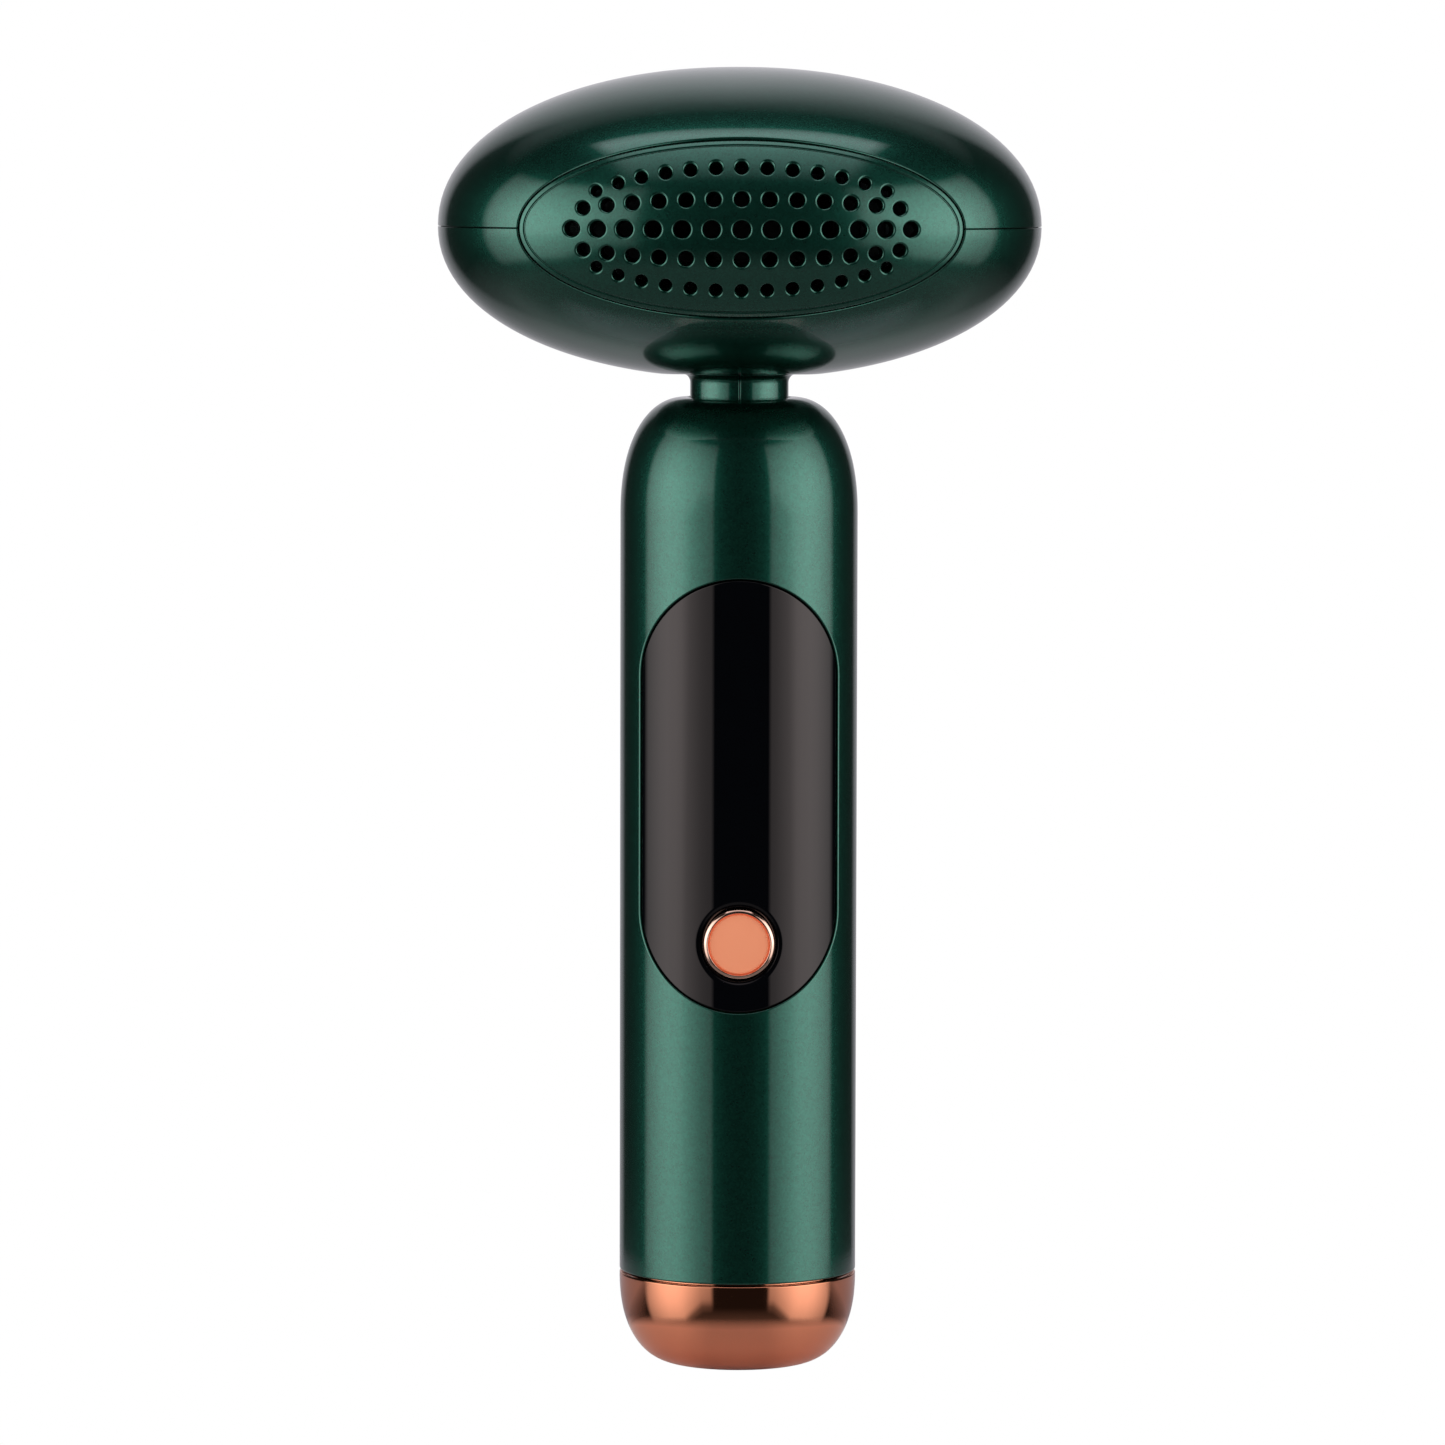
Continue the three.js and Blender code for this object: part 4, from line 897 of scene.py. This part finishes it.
# ---------------------------------------------------------------- button
def button():
    """A satin, slightly domed button in a polished ring, whose face is a rounded bevel."""
    here = (0, 0, BUTTON_Z)
    # Heights are counted outwards along the button's axis, so y is their negative.
    inner, top = 4.68, 18.12
    first, last = math.radians(12), math.radians(58)
    bend = (RING_R - inner - 0.12) / (math.sin(last) - math.sin(first))
    bevel = []
    for t in np.linspace(last, first, 12):
        bevel.append((RING_R + bend * (math.sin(t) - math.sin(last)),
                      top - bend * (math.cos(first) - math.cos(t)), math.sin(t), math.cos(t)))
    ring = outline((inner, 13.9, 0.05), (6.4, 13.9, 0.05), (6.4, 14.5, 0.05), (RING_R, 14.5, 0.05), bevel,
                   (inner, top + 0.02, 0.08))
    skin = Skin()
    turned(skin, [(r, -h, nr, -nh) for r, h, nr, nh in ring], 96, around="Y", centre=here)
    skin.build("polished_button_ring", "handle", BRIGHT_COPPER, ["button_ring"])
    curve, flat_r = 44.0, BUTTON_R - 0.3
    face = []
    for r in np.linspace(flat_r, 0.0, 14):
        face.append((r, 17.95 - r * r / (2 * curve), r / curve, 1.0))
    face = [(r, h, *unit(np.array([nr, nh]))) for r, h, nr, nh in face]
    rim_h = face[0][1] - 0.3
    edge = [(flat_r + 0.3 * math.cos(t), rim_h + 0.3 * math.sin(t), math.cos(t), math.sin(t))
            for t in np.linspace(0, math.pi / 2 - 0.1, 8)]
    stem = outline((0.0, 12.9, 0.0), (1.2, 12.9, 0.1), (1.2, 13.0, 0.02), (5.6, 13.0, 0.1), (5.6, 13.6, 0.1),
                   (BUTTON_R, 13.6, 0.05))
    skin = Skin()
    turned(skin, [(r, -h, nr, -nh) for r, h, nr, nh in stem + edge + face], 96, around="Y", centre=here)
    skin.build("copper_button", "button", SATIN_COPPER, ["button_cap"])


# ---------------------------------------------------------------- studio
def studio():
    """A room that the camera sees as plain white.

    Light and reflections see a soft box on each side, one overhead, and a back wall, painted by direction.
    """
    world = bpy.data.worlds.new("studio")
    bpy.context.scene.world = world
    world.use_nodes = True
    tree = world.node_tree
    tree.nodes.clear()
    split = node(tree, "ShaderNodeSeparateXYZ", {0: node(tree, "ShaderNodeTexCoord").outputs["Generated"]})
    x, y, z = split.outputs

    def maths(operation, a, b=None):
        links = {i: v for i, v in enumerate((a, b)) if hasattr(v, "is_output")}
        values = {i: v for i, v in enumerate((a, b)) if v is not None and not hasattr(v, "is_output")}
        return node(tree, "ShaderNodeMath", links, values, operation=operation).outputs[0]

    def fade(value, *stops):
        """Brightness from 0 to 1 at a few angles, with straight slopes between them."""
        low, high = stops[0][0], stops[-1][0]
        share = node(tree, "ShaderNodeMapRange", {0: value}, {1: low, 2: high}).outputs[0]
        ramp = node(tree, "ShaderNodeValToRGB", {0: share})
        marks = ramp.color_ramp.elements
        while len(marks) < len(stops):
            marks.new(0.5)
        for mark, (angle, level) in zip(marks, stops):
            mark.position = (angle - low) / (high - low)
            mark.color = (level, level, level, 1.0)
        return ramp.outputs[0]

    front = maths("MULTIPLY", y, -1.0)
    degrees = 180 / math.pi
    turn = maths("MULTIPLY", maths("ARCTAN2", x, front), degrees)
    climb = maths("MULTIPLY", maths("ARCSINE", z), degrees)
    arch = maths("MULTIPLY", maths("ARCTAN2", z, front), degrees)
    away = maths("ABSOLUTE", turn)
    # The right box stands a little further round than the left one.
    inner = maths("SUBTRACT", away, maths("MULTIPLY", maths("SIGN", turn), 2.5))
    edge = fade(inner, (26, 0), (29.5, 1))
    box = fade(away, (24, 0.42), (30, 0.47), (38, 0.6), (46, 0.74), (54, 0.87), (64, 1.0), (74, 1.0),
               (82, 0.88), (92, 0.64), (99, 0.46), (105, 0))
    # Near its inner end the box hangs higher, so it fades out sooner downwards.
    lift = fade(away, (36, 1), (58, 0))
    low_climb = maths("SUBTRACT", climb, maths("MULTIPLY", lift, 12.0))
    foot = fade(low_climb, (-38, 0), (-31, 0.1), (-26, 0.4), (-17, 0.56), (-9, 0.68), (-3, 0.98), (2, 1.0))
    head = fade(climb, (10, 0.93), (16, 0.85), (25, 0.72), (36, 0.45), (41, 0))
    sides = maths("MULTIPLY", maths("MULTIPLY", edge, box), maths("MULTIPLY", foot, head))
    top = fade(arch, (47, 0), (53, 0.12), (60, 0.25), (70, 0.42), (80, 0.55), (88, 0.85), (93, 1.0),
               (97, 0.7), (100, 0))
    top = maths("MULTIPLY", top, fade(maths("ABSOLUTE", x), (0.37, 1), (0.43, 0)))
    wall = fade(away, (146, 0), (153, 0.5), (163, 0.75), (180, 1))
    wall = maths("MAXIMUM", wall, fade(maths("ABSOLUTE", z), (0.6, 0), (0.85, 1)))
    rise = arch_back(maths, front, z)
    arc = fade(rise, (0, 1), (38, 0.88), (46, 0.72), (52, 0.54), (58, 0.26), (66, 0))
    wall = maths("MULTIPLY", wall, arc)
    wall = maths("MULTIPLY", wall, fade(z, (-0.5, 0.42), (-0.1, 0.75), (0.1, 1)))
    table = fade(climb, (-60, 0.15), (-42, 0.17), (-30, 0.07), (-20, 0))
    warm = maths("ADD", maths("MAXIMUM", maths("MULTIPLY", sides, 2.6), table), 0.015)
    cool = maths("ADD", maths("MULTIPLY", top, 1.95), maths("MULTIPLY", wall, 0.62))
    seen = node(tree, "ShaderNodeLightPath").outputs["Is Camera Ray"]
    warm = node(tree, "ShaderNodeBackground", {"Strength": warm}, {"Color": (1, 1, 1, 1)})
    cool = node(tree, "ShaderNodeBackground", {"Strength": cool}, {"Color": (1.0, 0.975, 1.04, 1)})
    room = node(tree, "ShaderNodeAddShader", {0: warm.outputs[0], 1: cool.outputs[0]})
    white = node(tree, "ShaderNodeBackground", values={"Color": (1, 1, 1, 1), "Strength": 1.0})
    both = node(tree, "ShaderNodeMixShader", {0: seen, 1: room.outputs[0], 2: white.outputs[0]})
    node(tree, "ShaderNodeOutputWorld", {"Surface": both.outputs[0]})


def arch_back(maths, front, z):
    """Degrees up from the level line behind the object, on either side of it."""
    behind = maths("MULTIPLY", front, -1.0)
    return maths("MULTIPLY", maths("ARCTAN2", maths("ABSOLUTE", z), behind), 180 / math.pi)


def floor():
    """A pale table top, which the camera sees as plain white, and which can't be seen from below.

    Light and reflections meet it only under the object and up to 13 cm behind it, and pass through elsewhere.
    Close to the object it glows a little, more towards the side boxes, in place of their light on it.
    """
    made, tree, shader, place = material("painted_table_top", Roughness=0.7)
    mottle = node(tree, "ShaderNodeTexNoise", {"Vector": place}, {"Scale": per_metre(60), "Detail": 2.0})
    tint = node(tree, "ShaderNodeMix", {"Factor": mottle.outputs["Fac"]}, data_type="RGBA")
    tint.inputs[6].default_value = linear("#ebe5ea")
    tint.inputs[7].default_value = linear("#f1ebf0")
    tree.links.new(tint.outputs[2], shader.inputs["Base Color"])
    reach = node(tree, "ShaderNodeVectorMath", {0: place}, operation="LENGTH").outputs["Value"]
    near = node(tree, "ShaderNodeMapRange", {0: reach}, {1: 0.026, 2: 0.034, 3: 0.0, 4: 1.0}).outputs[0]
    far = node(tree, "ShaderNodeMapRange", {0: reach}, {1: 0.095, 2: 0.13, 3: 0.0, 4: 1.0}).outputs[0]
    depth = node(tree, "ShaderNodeSeparateXYZ", {0: place}).outputs[1]
    ahead = node(tree, "ShaderNodeMapRange", {0: depth}, {1: -0.005, 2: 0.02, 3: 1.0, 4: 0.0}).outputs[0]
    apart = node(tree, "ShaderNodeMath", {0: far, 1: ahead}, operation="MAXIMUM").outputs[0]
    gone = node(tree, "ShaderNodeMath", {0: near, 1: apart}, operation="MINIMUM").outputs[0]
    sideways = node(tree, "ShaderNodeSeparateXYZ", {0: place}).outputs[0]
    across = node(tree, "ShaderNodeMath", {0: sideways}, operation="ABSOLUTE").outputs[0]
    side = node(tree, "ShaderNodeMath", {0: across, 1: reach}, operation="DIVIDE").outputs[0]
    side = node(tree, "ShaderNodeMapRange", {0: side}, {1: 0.35, 2: 0.7, 3: 0.06, 4: 0.26}).outputs[0]
    out = node(tree, "ShaderNodeMapRange", {0: reach}, {1: 0.012, 2: 0.026, 3: 0.5, 4: 1.0}).outputs[0]
    close = node(tree, "ShaderNodeMapRange", {0: reach}, {1: 0.028, 2: 0.034, 3: 1.0, 4: 0.0}).outputs[0]
    out = node(tree, "ShaderNodeMath", {0: close, 1: out}, operation="MULTIPLY").outputs[0]
    side = node(tree, "ShaderNodeMath", {0: side, 1: out}, operation="MULTIPLY").outputs[0]
    tree.links.new(side, shader.inputs["Emission Strength"])
    shader.inputs["Emission Color"].default_value = linear("#fff0e8")
    clear = node(tree, "ShaderNodeBsdfTransparent")
    lit = node(tree, "ShaderNodeMixShader", {0: gone, 1: shader.outputs[0], 2: clear.outputs[0]})
    white = node(tree, "ShaderNodeEmission", values={"Color": (1, 1, 1, 1), "Strength": 1.0})
    seen = node(tree, "ShaderNodeLightPath").outputs["Is Camera Ray"]
    both = node(tree, "ShaderNodeMixShader", {0: seen, 1: lit.outputs[0], 2: white.outputs[0]})
    below = node(tree, "ShaderNodeNewGeometry").outputs["Backfacing"]
    both = node(tree, "ShaderNodeMixShader", {0: below, 1: both.outputs[0], 2: clear.outputs[0]})
    tree.links.new(both.outputs[0], tree.nodes["Material Output"].inputs["Surface"])
    turns = np.linspace(0, 2 * math.pi, FLOOR_SIDES, endpoint=False)
    spots = [(0.0, 0.0, -FLOOR_DROP * MM)]
    spots += [(FLOOR_R * MM * math.cos(t), FLOOR_R * MM * math.sin(t), -FLOOR_DROP * MM) for t in turns]
    mesh = bpy.data.meshes.new("table_top")
    mesh.from_pydata(spots, [], [(0, 1 + i, 1 + (i + 1) % FLOOR_SIDES) for i in range(FLOOR_SIDES)])
    mesh.materials.append(made)
    piece = bpy.data.objects.new("table_top", mesh)
    bpy.context.scene.collection.objects.link(piece)


def camera():
    """A long lens that looks a few degrees down, and hardly to the side."""
    lens_mm, sensor_mm, distance, aim_z = 189.3, 36.0, 1155.0, 97.8
    down, yaw, lean = math.radians(4.5), math.radians(0.45), math.radians(0.13)
    data = bpy.data.cameras.new("camera")
    data.lens, data.sensor_width = lens_mm, sensor_mm
    data.clip_start, data.clip_end = 0.05, 30.0
    data.shift_x = -16.1 / 1445
    piece = bpy.data.objects.new("camera", data)
    bpy.context.scene.collection.objects.link(piece)
    aim = np.array([0.0, 0.0, aim_z])
    back = np.array([-math.sin(yaw) * math.cos(down), -math.cos(yaw) * math.cos(down), math.sin(down)])
    piece.location = Vector((aim + back * distance) * MM)
    look = Vector(-back)
    turn = look.to_track_quat("-Z", "Y")
    piece.rotation_mode = "QUATERNION"
    piece.rotation_quaternion = turn @ Quaternion((0, 0, 1), lean)
    bpy.context.scene.camera = piece


camera()
studio()
floor()
head_shell("lacquered_upper_shell", "head_upper_shell", 1)
head_shell("lacquered_lower_shell", "head_lower_shell", -1)
rear_grille()
front_face()
contact_plate()
neck_half("lacquered_neck_left", "neck_left_half", -1)
neck_half("lacquered_neck_right", "neck_right_half", 1)
handle_shell()
display_lens()
end_cap()
button()

bpy.context.scene.view_settings.view_transform = "Standard"
